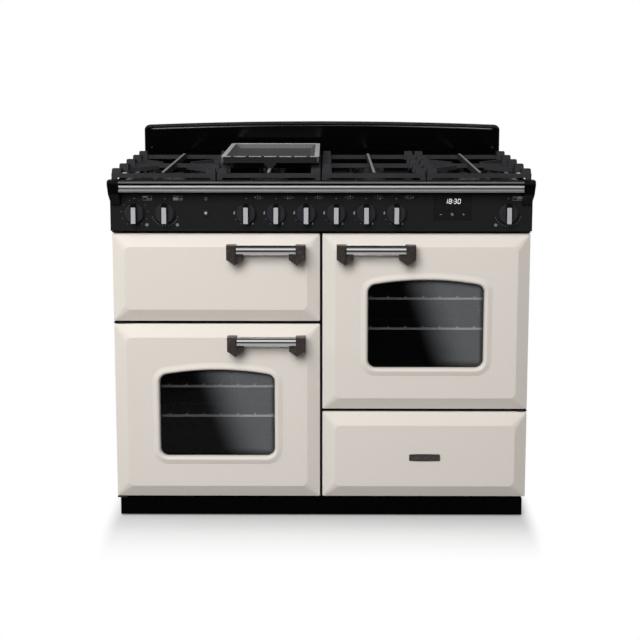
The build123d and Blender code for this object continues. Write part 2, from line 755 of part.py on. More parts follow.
def bevelled_plate(x, z):
    """Pressed door front: a rim, sloping sides and a raised field."""
    width = x[1] - x[0]
    height = z[1] - z[0]
    middle = ((x[0] + x[1]) / 2, (z[0] + z[1]) / 2)
    with BuildSketch(front_plane(PANEL_BACK_Y)) as back:
        with Locations(middle):
            RectangleRounded(width, height, EDGE_R)
    extrude(back.sketch, amount=RIM_THICK)
    with BuildSketch(front_plane(RIM_Y)) as rim:
        with Locations(middle):
            RectangleRounded(width, height, EDGE_R)
    with BuildSketch(front_plane(FACE_Y)) as field:
        with Locations(middle):
            RectangleRounded(width - 2 * BEVEL_WIDTH, height - 2 * BEVEL_WIDTH, FIELD_R)
    loft([rim.sketch, field.sketch])


def hollow_back(x, z):
    """Hollow the back of a door front, leaving its edges and its skin."""
    width = x[1] - x[0] - 2 * POCKET_INSET
    height = z[1] - z[0] - 2 * POCKET_INSET
    with BuildSketch(front_plane(PANEL_BACK_Y)) as pocket:
        with Locations(((x[0] + x[1]) / 2, (z[0] + z[1]) / 2)):
            RectangleRounded(width, height, FIELD_R)
    extrude(pocket.sketch, amount=POCKET_DEPTH, mode=Mode.SUBTRACT)


def window_sketch(y, middle_x, bottom, grow):
    """Arched window outline on an upright plane, grown all round."""
    half = WINDOW_W / 2 + grow
    low = bottom + WINDOW_BOTTOM - grow
    shoulder = bottom + WINDOW_SHOULDER + grow
    crown = bottom + WINDOW_CROWN + grow
    with BuildSketch(front_plane(y)) as outline:
        with BuildLine():
            Polyline(
                (middle_x - half, shoulder),
                (middle_x - half, low),
                (middle_x + half, low),
                (middle_x + half, shoulder),
            )
            ThreePointArc((middle_x + half, shoulder), (middle_x, crown), (middle_x - half, shoulder))
        make_face()
        fillet(outline.vertices(), radius=WINDOW_R + grow)
    return outline.sketch


def hinge_bores(side, z):
    """Bores for the hinge pins in the door's upper and lower edges."""
    x = side * (COLUMN_OUT - PIN_INSET)
    depth = PIN_LENGTH + BRACKET_THICK
    rod_z(x, PIN_Y, PIN_R + RUN_GAP, (z[0], z[0] + depth), Mode.SUBTRACT)
    rod_z(x, PIN_Y, PIN_R + RUN_GAP, (z[1] - depth, z[1]), Mode.SUBTRACT)


def door_panel(side, z, windowed, name):
    """Enamelled door front."""
    x = span(side * COLUMN_IN, side * COLUMN_OUT)
    middle = side * DOOR_MID
    with BuildPart() as panel:
        bevelled_plate(x, z)
        fillet(panel.faces().sort_by(Axis.Y)[0].edges(), radius=FIELD_FILLET)
        hollow_back(x, z)
        if windowed:
            ring = GLASS_LAP + GLASS_SEAT_W
            extrude(window_sketch(PANEL_BACK_Y, middle, z[0], ring), amount=POCKET_DEPTH)
            extrude(window_sketch(FACE_Y, middle, z[0], WINDOW_RIM), amount=WINDOW_RIM_RISE)
            through = PANEL_BACK_Y - FACE_Y + WINDOW_RIM_RISE
            rebate = PANEL_BACK_Y - GLASS_SEAT_Y
            extrude(window_sketch(PANEL_BACK_Y, middle, z[0], 0.0), amount=through, mode=Mode.SUBTRACT)
            extrude(window_sketch(PANEL_BACK_Y, middle, z[0], GLASS_LAP), amount=rebate, mode=Mode.SUBTRACT)
            fillet(panel.faces().sort_by(Axis.Y)[0].outer_wire().edges(), radius=WINDOW_EDGE_R)
            fillet(panel.faces().sort_by(Axis.Y)[0].inner_wires()[0].edges(), radius=WINDOW_ROLL_R)
        hinge_bores(side, z)
    save(panel.part, name)


def door_glass(side, z, name):
    """Outer pane behind the door front and inner pane in the liner."""
    middle = side * DOOR_MID
    with BuildPart() as panes:
        lap = GLASS_LAP - RUN_GAP
        extrude(window_sketch(GLASS_SEAT_Y + GLASS_THICK, middle, z[0], lap), amount=GLASS_THICK)
        extrude(window_sketch(LINER_BACK_Y, middle, z[0], lap), amount=INNER_GLASS)
    save(panes.part, name)


def door_liner(side, z, windowed, name):
    """Inner door shell, set in from the door's edges."""
    x = span(side * (COLUMN_IN + LINER_INSET), side * (COLUMN_OUT - LINER_INSET))
    middle = side * DOOR_MID
    with BuildPart() as liner:
        slab(x, (PANEL_BACK_Y, LINER_BACK_Y), (z[0] + LINER_INSET, z[1] - LINER_INSET))
        fillet(liner.edges().filter_by(Axis.Y), radius=EDGE_R)
        slab(
            (x[0] + LINER_WALL, x[1] - LINER_WALL),
            (PANEL_BACK_Y, LINER_BACK_Y - LINER_WALL),
            (z[0] + LINER_INSET + LINER_WALL, z[1] - LINER_INSET - LINER_WALL),
            Mode.SUBTRACT,
        )
        if windowed:
            ring = GLASS_LAP + GLASS_SEAT_W
            extrude(window_sketch(LINER_BACK_Y, middle, z[0], ring), amount=LINER_THICK)
            extrude(window_sketch(LINER_BACK_Y, middle, z[0], 0.0), amount=LINER_THICK, mode=Mode.SUBTRACT)
            seat = window_sketch(LINER_BACK_Y, middle, z[0], GLASS_LAP)
            extrude(seat, amount=INNER_GLASS, mode=Mode.SUBTRACT)
    save(liner.part, name)


def handle_brackets(side, door_top, name):
    """Two pointed brackets, each with a wing under the bar that reaches the door."""
    front = FACE_Y - HANDLE_REACH
    top = door_top - HANDLE_DROP
    low = top - BRACKET_FACE_H
    near = COLUMN_IN + HANDLE_INSET
    far = near + HANDLE_LENGTH - BRACKET_FACE_W

    def bracket(inner, hand):
        centre = side * (inner + BRACKET_FACE_W / 2)
        half = BRACKET_FACE_W / 2
        point = centre + side * hand * (half - BRACKET_TIP)
        with BuildPart() as piece:
            with BuildSketch(front_plane(front + BRACKET_BODY)):
                with BuildLine():
                    Polyline(
                        (centre - half, top),
                        (centre + half, top),
                        (centre + half, low + BRACKET_POINT),
                        (point, low),
                        (centre - half, low + BRACKET_POINT),
                        close=True,
                    )
                make_face()
            extrude(amount=BRACKET_BODY)
            chamfer(piece.faces().sort_by(Axis.Y)[0].edges(), length=BRACKET_CHAMFER)
            wing = centre + side * hand * (half + WING_REACH)
            with BuildSketch(front_plane(FACE_Y)):
                with BuildLine():
                    Polyline(
                        (point, low),
                        (wing, low + BRACKET_POINT),
                        (wing, low + WING_H),
                        (centre, low + WING_H),
                        (centre, low + BRACKET_POINT),
                        close=True,
                    )
                make_face()
            extrude(amount=HANDLE_REACH - WING_SET)
        return piece.part
    group(name, [bracket(near, 1), bracket(far, -1)])


def handle_bar(side, door_top, name):
    """Straight bar between two brackets, with a shallow groove near each end."""
    z = door_top - BAR_DROP
    near = COLUMN_IN + HANDLE_INSET + BRACKET_FACE_W
    far = near + HANDLE_LENGTH - 2 * BRACKET_FACE_W
    with BuildPart() as bar:
        rod_x(BAR_Y, z, BAR_R, span(side * near, side * far))
        for end in (near + GROOVE_INSET, far - GROOVE_INSET - GROOVE_W):
            with BuildSketch(Plane.YZ.offset(span(side * end, side * (end + GROOVE_W))[0])):
                with Locations((BAR_Y, z)):
                    Circle(BAR_R)
                    Circle(BAR_R - GROOVE_DEPTH, mode=Mode.SUBTRACT)
            extrude(amount=GROOVE_W, mode=Mode.SUBTRACT)
    save(bar.part, name)


def hinge_brackets():
    """Plates in the gaps between the doors, with the pins that the doors turn on."""
    def plate(side, z, up, down):
        x = side * (COLUMN_OUT - PIN_INSET)
        with BuildPart() as piece:
            slab(
                span(side * (COLUMN_OUT - BRACKET_W), side * COLUMN_OUT),
                (PIN_Y - BRACKET_NOSE, FRAME_Y),
                (z - BRACKET_THICK / 2, z + BRACKET_THICK / 2),
            )
            if up:
                rod_z(x, PIN_Y, PIN_R, (z, z + PIN_LENGTH))
            if down:
                rod_z(x, PIN_Y, PIN_R, (z - PIN_LENGTH, z))
        return piece.part
    above = DOOR_TOP + DOOR_GAP / 2
    below = BASE_TOP + BRACKET_THICK / 2
    group("hinge_brackets", [
        plate(LEFT, above, False, True),
        plate(LEFT, LOW_DOOR_TOP + DOOR_GAP / 2, True, True),
        plate(LEFT, below, True, False),
        plate(RIGHT, above, False, True),
        plate(RIGHT, DRAWER_TOP + DOOR_GAP / 2, True, False),
    ])


# Storage drawer

def drawer_front():
    """Drawer front, pressed like the doors."""
    with BuildPart() as front:
        bevelled_plate((COLUMN_IN, COLUMN_OUT), (DOOR_BOTTOM, DRAWER_TOP))
        fillet(front.faces().sort_by(Axis.Y)[0].edges(), radius=FIELD_FILLET)
        hollow_back((COLUMN_IN, COLUMN_OUT), (DOOR_BOTTOM, DRAWER_TOP))
    save(front.part, "drawer_front")


def badge_plate():
    """Blank plate on the drawer front, a little bowed at its upper and lower edges."""
    z = DRAWER_TOP - BADGE_DROP
    left = DOOR_MID - BADGE_W / 2
    right = DOOR_MID + BADGE_W / 2
    top = z + BADGE_H / 2
    low = z - BADGE_H / 2
    with BuildPart() as badge:
        with BuildSketch(front_plane(FACE_Y)):
            with BuildLine():
                Line((left, low), (left, top))
                ThreePointArc((left, top), (DOOR_MID, top + BADGE_BOW), (right, top))
                Line((right, top), (right, low))
                ThreePointArc((right, low), (DOOR_MID, low - BADGE_BOW), (left, low))
            make_face()
        extrude(amount=BADGE_T)
        fillet(badge.edges().filter_by(Axis.Y), radius=BADGE_R)
    save(badge.part, "badge_plate")


def drawer_box():
    """Drawer box of welded sheets behind a closed front tray, with a slide strip along each side."""
    x = (MOUTH_MID - BOX_W / 2, MOUTH_MID + BOX_W / 2)
    y = (LINER_BACK_Y, LINER_BACK_Y + BOX_DEPTH)
    z = (BASE_TOP + BOX_RISE, BASE_TOP + BOX_RISE + BOX_H)
    strip_y = (FRAME_BACK_Y, FRAME_BACK_Y + BOX_DEPTH - STRIP_SHORT)
    strip_z = BASE_TOP + RUNNER_RISE + RUNNER_T + SEAT_GAP
    strip_h = RUNNER_H - 2 * RUNNER_T - 2 * SEAT_GAP
    with BuildPart() as tray:
        slab(
            (COLUMN_IN + LINER_INSET, COLUMN_OUT - LINER_INSET),
            (PANEL_BACK_Y, LINER_BACK_Y),
            (DOOR_BOTTOM + LINER_INSET, DRAWER_TOP - LINER_INSET),
        )
        slab(
            (COLUMN_IN + LINER_INSET + LINER_WALL, COLUMN_OUT - LINER_INSET - LINER_WALL),
            (PANEL_BACK_Y, LINER_BACK_Y - LINER_WALL),
            (DOOR_BOTTOM + LINER_INSET + LINER_WALL, DRAWER_TOP - LINER_INSET - LINER_WALL),
            Mode.SUBTRACT,
        )
    inside = (x[0] + BOX_WALL, x[1] - BOX_WALL)
    sheets = [
        (x, y, (z[0], z[0] + BOX_WALL)),
        (inside, (y[1] - BOX_WALL, y[1]), (z[0] + BOX_WALL, z[1])),
        ((x[0], inside[0]), y, (z[0] + BOX_WALL, z[1])),
        ((inside[1], x[1]), y, (z[0] + BOX_WALL, z[1])),
        ((x[0] - RUNNER_REACH, x[0]), strip_y, (strip_z, strip_z + strip_h)),
        ((x[1], x[1] + RUNNER_REACH), strip_y, (strip_z, strip_z + strip_h)),
    ]
    pieces = [tray.part]
    for spans in sheets:
        with BuildPart() as sheet:
            slab(*spans)
        pieces.append(sheet.part)
    group("drawer_box", pieces)


def drawer_runners():
    """Channel on a foot plate at each side of the drawer, open towards the slide strip."""
    def runner(hand):
        strip_edge = MOUTH_MID + hand * (BOX_W / 2 + RUNNER_REACH)
        web = strip_edge + hand * SEAT_GAP
        lip = web - hand * (RUNNER_REACH - RUNNER_T)
        low = BASE_TOP + RUNNER_RISE
        y = (FRAME_BACK_Y, FRAME_BACK_Y + BOX_DEPTH)
        with BuildPart() as piece:
            slab(span(web, web + hand * RUNNER_T), y, (BASE_TOP, low + RUNNER_H))
            slab(span(lip, web), y, (low, low + RUNNER_T))
            slab(span(lip, web), y, (low + RUNNER_H - RUNNER_T, low + RUNNER_H))
        return piece.part
    mirrored(runner, "drawer_runners")


# Control panel

def control_panel():
    """Folded fascia with flanges and ends, bored for the spindles, lamps, button and clock."""
    back = FACE_Y + FASCIA_SHEET
    z = (FASCIA_BOTTOM, FASCIA_TOP)
    with BuildPart() as fascia:
        slab((-WIDTH / 2, WIDTH / 2), (FACE_Y, back), z)
        slab((-CASE_IN, CASE_IN), (back, FRAME_BACK_Y), (z[0], z[0] + FASCIA_FLANGE))
        slab((-CASE_IN, CASE_IN), (back, FRAME_Y), (z[1] - FASCIA_FLANGE, z[1]))
        for side in (LEFT, RIGHT):
            slab(span(side * CASE_IN, side * WIDTH / 2), (back, FRAME_Y), z)
        fillet(fascia.edges().filter_by(Axis.X).group_by(Axis.Y)[0], radius=FASCIA_EDGE_R)
        for x in HOB_KNOB_X + [-OUTER_KNOB_X, -OVEN_KNOB_X, OUTER_KNOB_X]:
            rod_y(x, KNOB_Z, SPINDLE_HOLE_R, (FACE_Y, back), Mode.SUBTRACT)
        for x in neon_places():
            rod_y(x, NEON_Z, NEON_R + RUN_GAP, (FACE_Y, back), Mode.SUBTRACT)
        rod_y(BUTTON_X, KNOB_Z, BEZEL_R, (FACE_Y - BEZEL_T, FACE_Y))
        rod_y(BUTTON_X, KNOB_Z, BUTTON_R + RUN_GAP, (FACE_Y - BEZEL_T, back), Mode.SUBTRACT)
        slab(
            (CLOCK_X - CLOCK_BODY_W / 2 - RUN_GAP, CLOCK_X + CLOCK_BODY_W / 2 + RUN_GAP),
            (FACE_Y, back),
            (CLOCK_Z - CLOCK_BODY_H / 2 - RUN_GAP, CLOCK_Z + CLOCK_BODY_H / 2 + RUN_GAP),
            Mode.SUBTRACT,
        )
    save(fascia.part, "control_panel")


def neon_places():
    """Where the three lamps sit, each beside the knob that it belongs to."""
    return [-OUTER_KNOB_X + NEON_SHIFT, -OVEN_KNOB_X + NEON_SHIFT, OUTER_KNOB_X - NEON_SHIFT]


def clock_module():
    """Clock: a thin glass face over the fascia and the body behind it."""
    with BuildPart() as clock:
        slab(
            (CLOCK_X - CLOCK_W / 2, CLOCK_X + CLOCK_W / 2),
            (FACE_Y - CLOCK_GLASS, FACE_Y),
            (CLOCK_Z - CLOCK_H / 2, CLOCK_Z + CLOCK_H / 2),
        )
        fillet(clock.edges().filter_by(Axis.Y), radius=CLOCK_R)
        slab(
            (CLOCK_X - CLOCK_BODY_W / 2, CLOCK_X + CLOCK_BODY_W / 2),
            (FACE_Y, FACE_Y + CLOCK_BODY_D),
            (CLOCK_Z - CLOCK_BODY_H / 2, CLOCK_Z + CLOCK_BODY_H / 2),
        )
    save(clock.part, "clock_module")


def control_body(x):
    """Tap or switch body with its collar behind the fascia and its spindle through it."""
    back = FACE_Y + FASCIA_SHEET
    body = back + COLLAR_L
    with BuildPart() as piece:
        rod_y(x, KNOB_Z, COLLAR_R, (back, body))
        slab(
            (x - TAP_W / 2, x + TAP_W / 2),
            (body, body + TAP_D),
            (KNOB_Z - TAP_H / 2, KNOB_Z + TAP_H / 2),
        )
        rod_y(x, KNOB_Z, SPINDLE_R, (FACE_Y - SPINDLE_REACH, body))
    return piece.part


def oven_controls():
    """Grill and oven switches, the light switch and the three lamps."""
    back = FACE_Y + FASCIA_SHEET
    pieces = [control_body(x) for x in (-OUTER_KNOB_X, -OVEN_KNOB_X, OUTER_KNOB_X)]
    switch_y = FACE_Y - BUTTON_PROUD + BUTTON_LENGTH + BUTTON_TRAVEL + SWITCH_GAP
    with BuildPart() as light_switch:
        slab(
            (BUTTON_X - TAP_W / 2, BUTTON_X + TAP_W / 2),
            (switch_y, switch_y + SWITCH_T),
            (KNOB_Z - TAP_W / 2, KNOB_Z + TAP_W / 2),
        )
        for hand in (LEFT, RIGHT):
            edge = BUTTON_X + hand * TAP_W / 2
            slab(
                span(edge - hand * SWITCH_LEG, edge),
                (back, switch_y),
                (KNOB_Z - SWITCH_LEG, KNOB_Z + SWITCH_LEG),
            )
    pieces.append(light_switch.part)
    for x in neon_places():
        with BuildPart() as lamp:
            rod_y(x, NEON_Z, NEON_R, (FACE_Y - NEON_PROUD, back))
            rod_y(x, NEON_Z, NEON_BODY_R, (back, back + NEON_BODY_L))
        pieces.append(lamp.part)
    group("oven_controls", pieces)


def gas_manifold():
    """Supply pipe from the rear inlet along the side to the six hob taps."""
    tap_back = FACE_Y + FASCIA_SHEET + COLLAR_L + TAP_D
    pipe_y = tap_back + PIPE_R
    back = BACK_PANEL_Y + SHEET
    with BuildPart() as pipe:
        rod_x(pipe_y, KNOB_Z, PIPE_R, (INLET_X, HOB_KNOB_X[-1] + TAP_W))
        with Locations((INLET_X, pipe_y, KNOB_Z)):
            Sphere(PIPE_R)
        rod_y(INLET_X, KNOB_Z, PIPE_R, (pipe_y, back))
        rod_y(INLET_X, KNOB_Z, INLET_R, (back, REAR_Y))
        rod_y(INLET_X, KNOB_Z, INLET_BORE_R, (REAR_Y - INLET_BORE_DEPTH, REAR_Y), Mode.SUBTRACT)
    group("gas_manifold", [pipe.part] + [control_body(x) for x in HOB_KNOB_X])


def knob(x, name):
    """Round knob with a raised grip bar, a bright insert and a bore for the spindle."""
    back = FACE_Y - KNOB_STAND
    skirt = back - KNOB_SKIRT
    front = FACE_Y - KNOB_PROUD
    grip_middle = KNOB_Z + (GRIP_TOP - GRIP_BOTTOM) / 2
    with BuildPart() as body:
        rod_y(x, KNOB_Z, KNOB_R, (skirt, back))
        chamfer(body.faces().sort_by(Axis.Y)[0].edges(), length=KNOB_CHAMFER)
        with BuildSketch(front_plane(back)):
            with Locations((x, grip_middle)):
                RectangleRounded(GRIP_W, GRIP_TOP + GRIP_BOTTOM, GRIP_R)
        extrude(amount=back - front)
        rod_y(x, KNOB_Z, SPINDLE_R + RUN_GAP, (FACE_Y - SPINDLE_REACH - RUN_GAP, back), Mode.SUBTRACT)
    insert_low = KNOB_Z - GRIP_BOTTOM + INSERT_RISE
    with BuildPart() as insert:
        slab(
            (x - INSERT_W / 2, x + INSERT_W / 2),
            (front - INSERT_T, front),
            (insert_low, insert_low + INSERT_H),
        )
    group(name, [body.part, insert.part])


def light_button():
    """Domed push button in its bezel."""
    front = FACE_Y - BUTTON_PROUD
    with BuildPart() as button:
        rod_y(BUTTON_X, KNOB_Z, BUTTON_R, (front, front + BUTTON_LENGTH))
        fillet(button.faces().sort_by(Axis.Y)[0].edges(), radius=BUTTON_DOME_R)
    save(button.part, "light_button")


# Hob

def hob_deck():
    """Enamelled hob deck with a hole for each burner cup and a raised lip along its front."""
    with BuildPart() as deck:
        slab((-WIDTH / 2, WIDTH / 2), (DECK_FRONT_Y, REAR_Y), (FASCIA_TOP, DECK_TOP))
        fillet(deck.edges().filter_by(Axis.Z), radius=DECK_R)
        slab(
            (-WIDTH / 2 + DECK_SHEET, WIDTH / 2 - DECK_SHEET),
            (DECK_FRONT_Y + DECK_SHEET, REAR_Y - DECK_SHEET),
            (FASCIA_TOP, DECK_TOP - DECK_SHEET),
            Mode.SUBTRACT,
        )
        for x, y, _ in BURNERS:
            rod_z(x, y, CUP_R + RUN_GAP, (FASCIA_TOP, DECK_TOP), Mode.SUBTRACT)
        slab((-RAIL_HALF, RAIL_HALF), (DECK_FRONT_Y, LIP_BACK_Y), (DECK_TOP, RAIL_TOP))
        slab((-RAIL_HALF, RAIL_HALF), (RAIL_FRONT_Y, LIP_BACK_Y), (RAIL_TOP, LIP_TOP))
        fillet(deck.edges().filter_by(Axis.X).group_by(Axis.Z)[-1], radius=LIP_R)
    save(deck.part, "hob_deck")


def burner_crowns():
    """Flame crowns with their cups through the deck, and a spark electrode beside each."""
    pieces = []
    for x, y, radius in BURNERS:
        with BuildPart() as crown:
            rod_z(x, y, CUP_R, (DECK_TOP - CUP_DEPTH, DECK_TOP))
            rod_z(x, y, radius, (DECK_TOP, DECK_TOP + CROWN_H))
            with BuildSketch(Plane.XY.offset(DECK_TOP + CROWN_H / 2)):
                with Locations((x, y)):
                    with PolarLocations(radius, PORTS):
                        Rectangle(PORT_LENGTH, PORT_W)
            extrude(amount=CROWN_H / 2, mode=Mode.SUBTRACT)
        with BuildPart() as electrode:
            rod_z(x - radius - ELECTRODE_GAP - ELECTRODE_R, y, ELECTRODE_R, (DECK_TOP, DECK_TOP + CROWN_H))
        pieces += [crown.part, electrode.part]
    group("burner_crowns", pieces)


def burner_caps():
    """Domed black caps on the crowns."""
    pieces = []
    for x, y, radius in BURNERS:
        with BuildPart() as cap:
            base = DECK_TOP + CROWN_H
            rod_z(x, y, radius - CAP_INSET, (base, base + CAP_H))
            fillet(cap.faces().sort_by(Axis.Z)[-1].edges(), radius=CAP_DOME_R)
        pieces.append(cap.part)
    group("burner_caps", pieces)


def front_rail():
    """Bright rail under the deck's lip, with a rounded nose."""
    with BuildPart() as rail:
        slab((-RAIL_HALF, RAIL_HALF), (RAIL_FRONT_Y, DECK_FRONT_Y), (RAIL_Z, RAIL_TOP))
        fillet(rail.edges().filter_by(Axis.X).group_by(Axis.Y)[0], radius=RAIL_NOSE_R)
    save(rail.part, "front_rail")


def rail_end_caps():
    """Faceted end blocks of the rail and lip, tapering down over the fascia's corners."""
    front = RAIL_FRONT_Y - CAP_PROUD
    top = LIP_TOP + CAP_RISE
    low = RAIL_Z - CAP_DROP

    def cap(side):
        with BuildPart() as piece:
            with BuildSketch(Plane.YZ.offset(span(side * RAIL_HALF, side * CAP_OUT)[0])):
                with BuildLine():
                    Polyline(
                        (LIP_BACK_Y, top),
                        (front + CAP_BEVEL, top),
                        (front, top - CAP_BEVEL),
                        (front + CAP_LEAN, FASCIA_TOP),
                        (FACE_Y - CAP_THROAT, low),
                        (FACE_Y, low),
                        (FACE_Y, FASCIA_TOP),
                        (DECK_FRONT_Y, FASCIA_TOP),
                        (DECK_FRONT_Y, DECK_TOP),
                        (LIP_BACK_Y, DECK_TOP),
                        close=True,
                    )
                make_face()
            extrude(amount=CAP_OUT - RAIL_HALF)
            with BuildSketch(front_plane(LIP_BACK_Y)):
                with BuildLine():
                    Polyline(
                        (side * CAP_OUT, low),
                        (side * (CAP_OUT - CAP_TAPER), low),
                        (side * CAP_OUT, top),
                        close=True,
                    )
                make_face()
            extrude(amount=LIP_BACK_Y - front, mode=Mode.SUBTRACT)
        return piece.part
    mirrored(cap, "rail_end_caps")


def backguard():
    """Upright panel behind the hob, with an arched top and a rolled edge."""
    low = DECK_TOP
    side_top = low + GUARD_SIDE_H
    crown = low + GUARD_CROWN_H
    with BuildPart() as guard:
        with BuildSketch(front_plane(REAR_Y)) as outline:
            with BuildLine():
                Polyline(
                    (-GUARD_HALF, side_top),
                    (-GUARD_HALF, low),
                    (GUARD_HALF, low),
                    (GUARD_HALF, side_top),
                )
                ThreePointArc((GUARD_HALF, side_top), (0, crown), (-GUARD_HALF, side_top))
            make_face()
            fillet(outline.vertices().group_by(Axis.Y)[-1], radius=GUARD_R)
        extrude(amount=GUARD_T)
        front_edges = guard.faces().sort_by(Axis.Y)[0].edges().sort_by(Axis.Z)
        fillet(front_edges[1:], radius=GUARD_ROLL)
        slab(
            (-GUARD_HALF + GUARD_WALL, GUARD_HALF - GUARD_WALL),
            (REAR_Y - GUARD_T + DECK_SHEET, REAR_Y),
            (low + DECK_SHEET, side_top - GUARD_WALL),
            Mode.SUBTRACT,
        )
    save(guard.part, "backguard")


def support_span(index):
    """Left and right edges of a pan support, counted from the left."""
    left = -WIDTH / 2 + index * SUPPORT_PITCH
    right = left + SUPPORT_PITCH
    return (left + SUPPORT_GAP / 2 * (index > 0), right - SUPPORT_GAP / 2 * (index < SUPPORTS - 1))


def pan_support(index, name):
    """Cast iron support: a bar frame on feet, a spine, fingers towards the burners, and side lugs."""
    x = support_span(index)
    centre = (x[0] + x[1]) / 2
    width = x[1] - x[0]
    depth = SUPPORT_BACK_Y - SUPPORT_FRONT_Y
    middle = (SUPPORT_FRONT_Y + SUPPORT_BACK_Y) / 2
    lug_pitch = (depth - LUG_L) / (LUGS - 1)
    rows = [SUPPORT_FRONT_Y + LUG_L / 2 + i * lug_pitch for i in range(LUGS)]
    foot = FOOT_SIDE / 2
    with BuildPart() as support:
        with BuildSketch(Plane.XY.offset(SUPPORT_Z)):
            with Locations((centre, middle)):
                Rectangle(width, depth)
                Rectangle(width - 2 * SUPPORT_BAR_W, depth - 2 * SUPPORT_BAR_W, mode=Mode.SUBTRACT)
                Rectangle(width, SUPPORT_BAR_W)
            if index in (0, SUPPORTS - 1):
                for hand in (LEFT, RIGHT):
                    for row in (rows[1], rows[3]):
                        finger(centre + hand * (width / 2 - LUG_W), row, centre, BIG_BURNER_Y)
        extrude(amount=SUPPORT_BAR_H)
        with BuildSketch(Plane.XY.offset(SUPPORT_Z)):
            with Locations((centre, middle)):
                Rectangle(SPINE_W, depth)
        extrude(amount=SPINE_H)
        with BuildSketch(Plane.XY.offset(SUPPORT_Z)):
            for row in rows:
                for edge in (x[0] + LUG_W / 2, x[1] - LUG_W / 2):
                    with Locations((edge, row)):
                        Rectangle(LUG_W, LUG_L)
        extrude(amount=SUPPORT_BAR_H + LUG_H, taper=LUG_TAPER)
        with BuildSketch(Plane.XY.offset(DECK_TOP + SEAT_GAP)):
            for y in (SUPPORT_FRONT_Y + foot, SUPPORT_BACK_Y - foot):
                for edge in (x[0] + foot, x[1] - foot):
                    with Locations((edge, y)):
                        Rectangle(FOOT_SIDE, FOOT_SIDE)
        extrude(amount=SUPPORT_Z - DECK_TOP - SEAT_GAP)
    save(support.part, name)


def finger(x, y, to_x, to_y):
    """Straight finger from one place part of the way to another, in the sketch that is being built."""
    length = math.hypot(to_x - x, to_y - y) * FINGER_SHARE
    angle = math.degrees(math.atan2(to_y - y, to_x - x))
    middle = (x + (to_x - x) * FINGER_SHARE / 2, y + (to_y - y) * FINGER_SHARE / 2)
    with Locations(middle):
        Rectangle(length, SUPPORT_BAR_W, rotation=angle)


def griddle():
    """Dished griddle plate with a foot at the front and the rear, on the second support's spine."""
    x = support_span(1)
    centre = (x[0] + x[1]) / 2
    foot_low = SUPPORT_Z + SPINE_H + SEAT_GAP
    low = foot_low + GRIDDLE_FOOT_H
    top = low + GRIDDLE_H
    y = (GRIDDLE_FRONT_Y, GRIDDLE_FRONT_Y + GRIDDLE_D)
    middle = (y[0] + y[1]) / 2
    with BuildPart() as plate:
        with BuildSketch(Plane.XY.offset(low)):
            with Locations((centre, middle)):
                RectangleRounded(GRIDDLE_W, GRIDDLE_D, GRIDDLE_R)
        extrude(amount=GRIDDLE_H)
        with BuildSketch(Plane.XY.offset(top)):
            with Locations((centre, middle)):
                RectangleRounded(GRIDDLE_W - 2 * GRIDDLE_RIM, GRIDDLE_D - 2 * GRIDDLE_RIM, DISH_R)
        extrude(amount=-GRIDDLE_DISH, taper=DISH_TAPER, mode=Mode.SUBTRACT)
        half_foot = GRIDDLE_FOOT_W / 2
        for end in ((y[0], y[0] + GRIDDLE_FOOT_D), (y[1] - GRIDDLE_FOOT_D, y[1])):
            slab((centre - SPINE_W, centre + SPINE_W), end, (foot_low, low))
            slab((centre - half_foot, centre + half_foot), end, (low - GRIDDLE_FOOT_H / 2, low))
    save(plate.part, "griddle")


# Build every piece
base_frame()
roller(LEFT, "left_roller")
roller(RIGHT, "right_roller")
front_feet()
casing_panels()
front_frame()
plinth()
terminal_box()

oven_cavity(LEFT, LEFT_OVEN_Z, DOOR_BOTTOM, "left_oven_cavity")
oven_cavity(RIGHT, RIGHT_OVEN_Z, UPPER_OVEN_BOTTOM, "right_oven_cavity")
oven_racks()
fan_drives()
oven_fan(LEFT, LEFT_OVEN_Z, "left_oven_fan")
oven_fan(RIGHT, RIGHT_OVEN_Z, "right_oven_fan")
grill_cavity()
grill_pan()

DOORS = [
    ("grill_door", LEFT, (UPPER_SMALL_BOTTOM, DOOR_TOP), False),
    ("left_oven_door", LEFT, (DOOR_BOTTOM, LOW_DOOR_TOP), True),
    ("right_oven_door", RIGHT, (UPPER_OVEN_BOTTOM, DOOR_TOP), True),
]
for door, side, heights, windowed in DOORS:
    door_panel(side, heights, windowed, f"{door}_panel")
    door_liner(side, heights, windowed, f"{door}_liner")
    handle_bar(side, heights[1], f"{door}_handle_bar")
    handle_brackets(side, heights[1], f"{door}_handle_brackets")
    if windowed:
        door_glass(side, heights, f"{door}_glass")
hinge_brackets()

drawer_front()
badge_plate()
drawer_box()
drawer_runners()

control_panel()
clock_module()
oven_controls()
gas_manifold()
knob(-OUTER_KNOB_X, "grill_knob")
knob(-OVEN_KNOB_X, "left_oven_knob")
knob(OUTER_KNOB_X, "right_oven_knob")
for number, knob_x in enumerate(HOB_KNOB_X, start=1):
    knob(knob_x, f"hob_knob_{number}")
light_button()

hob_deck()
burner_crowns()
burner_caps()
front_rail()
rail_end_caps()
backguard()
for number in range(4):
    pan_support(number, f"pan_support_{number + 1}")
griddle()
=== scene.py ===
"""Range cooker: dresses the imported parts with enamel, metal and glass, and adds its trim, prints and stage.

Metres throughout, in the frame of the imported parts: +Z up, the doors face -Y.
"""
import json
import math

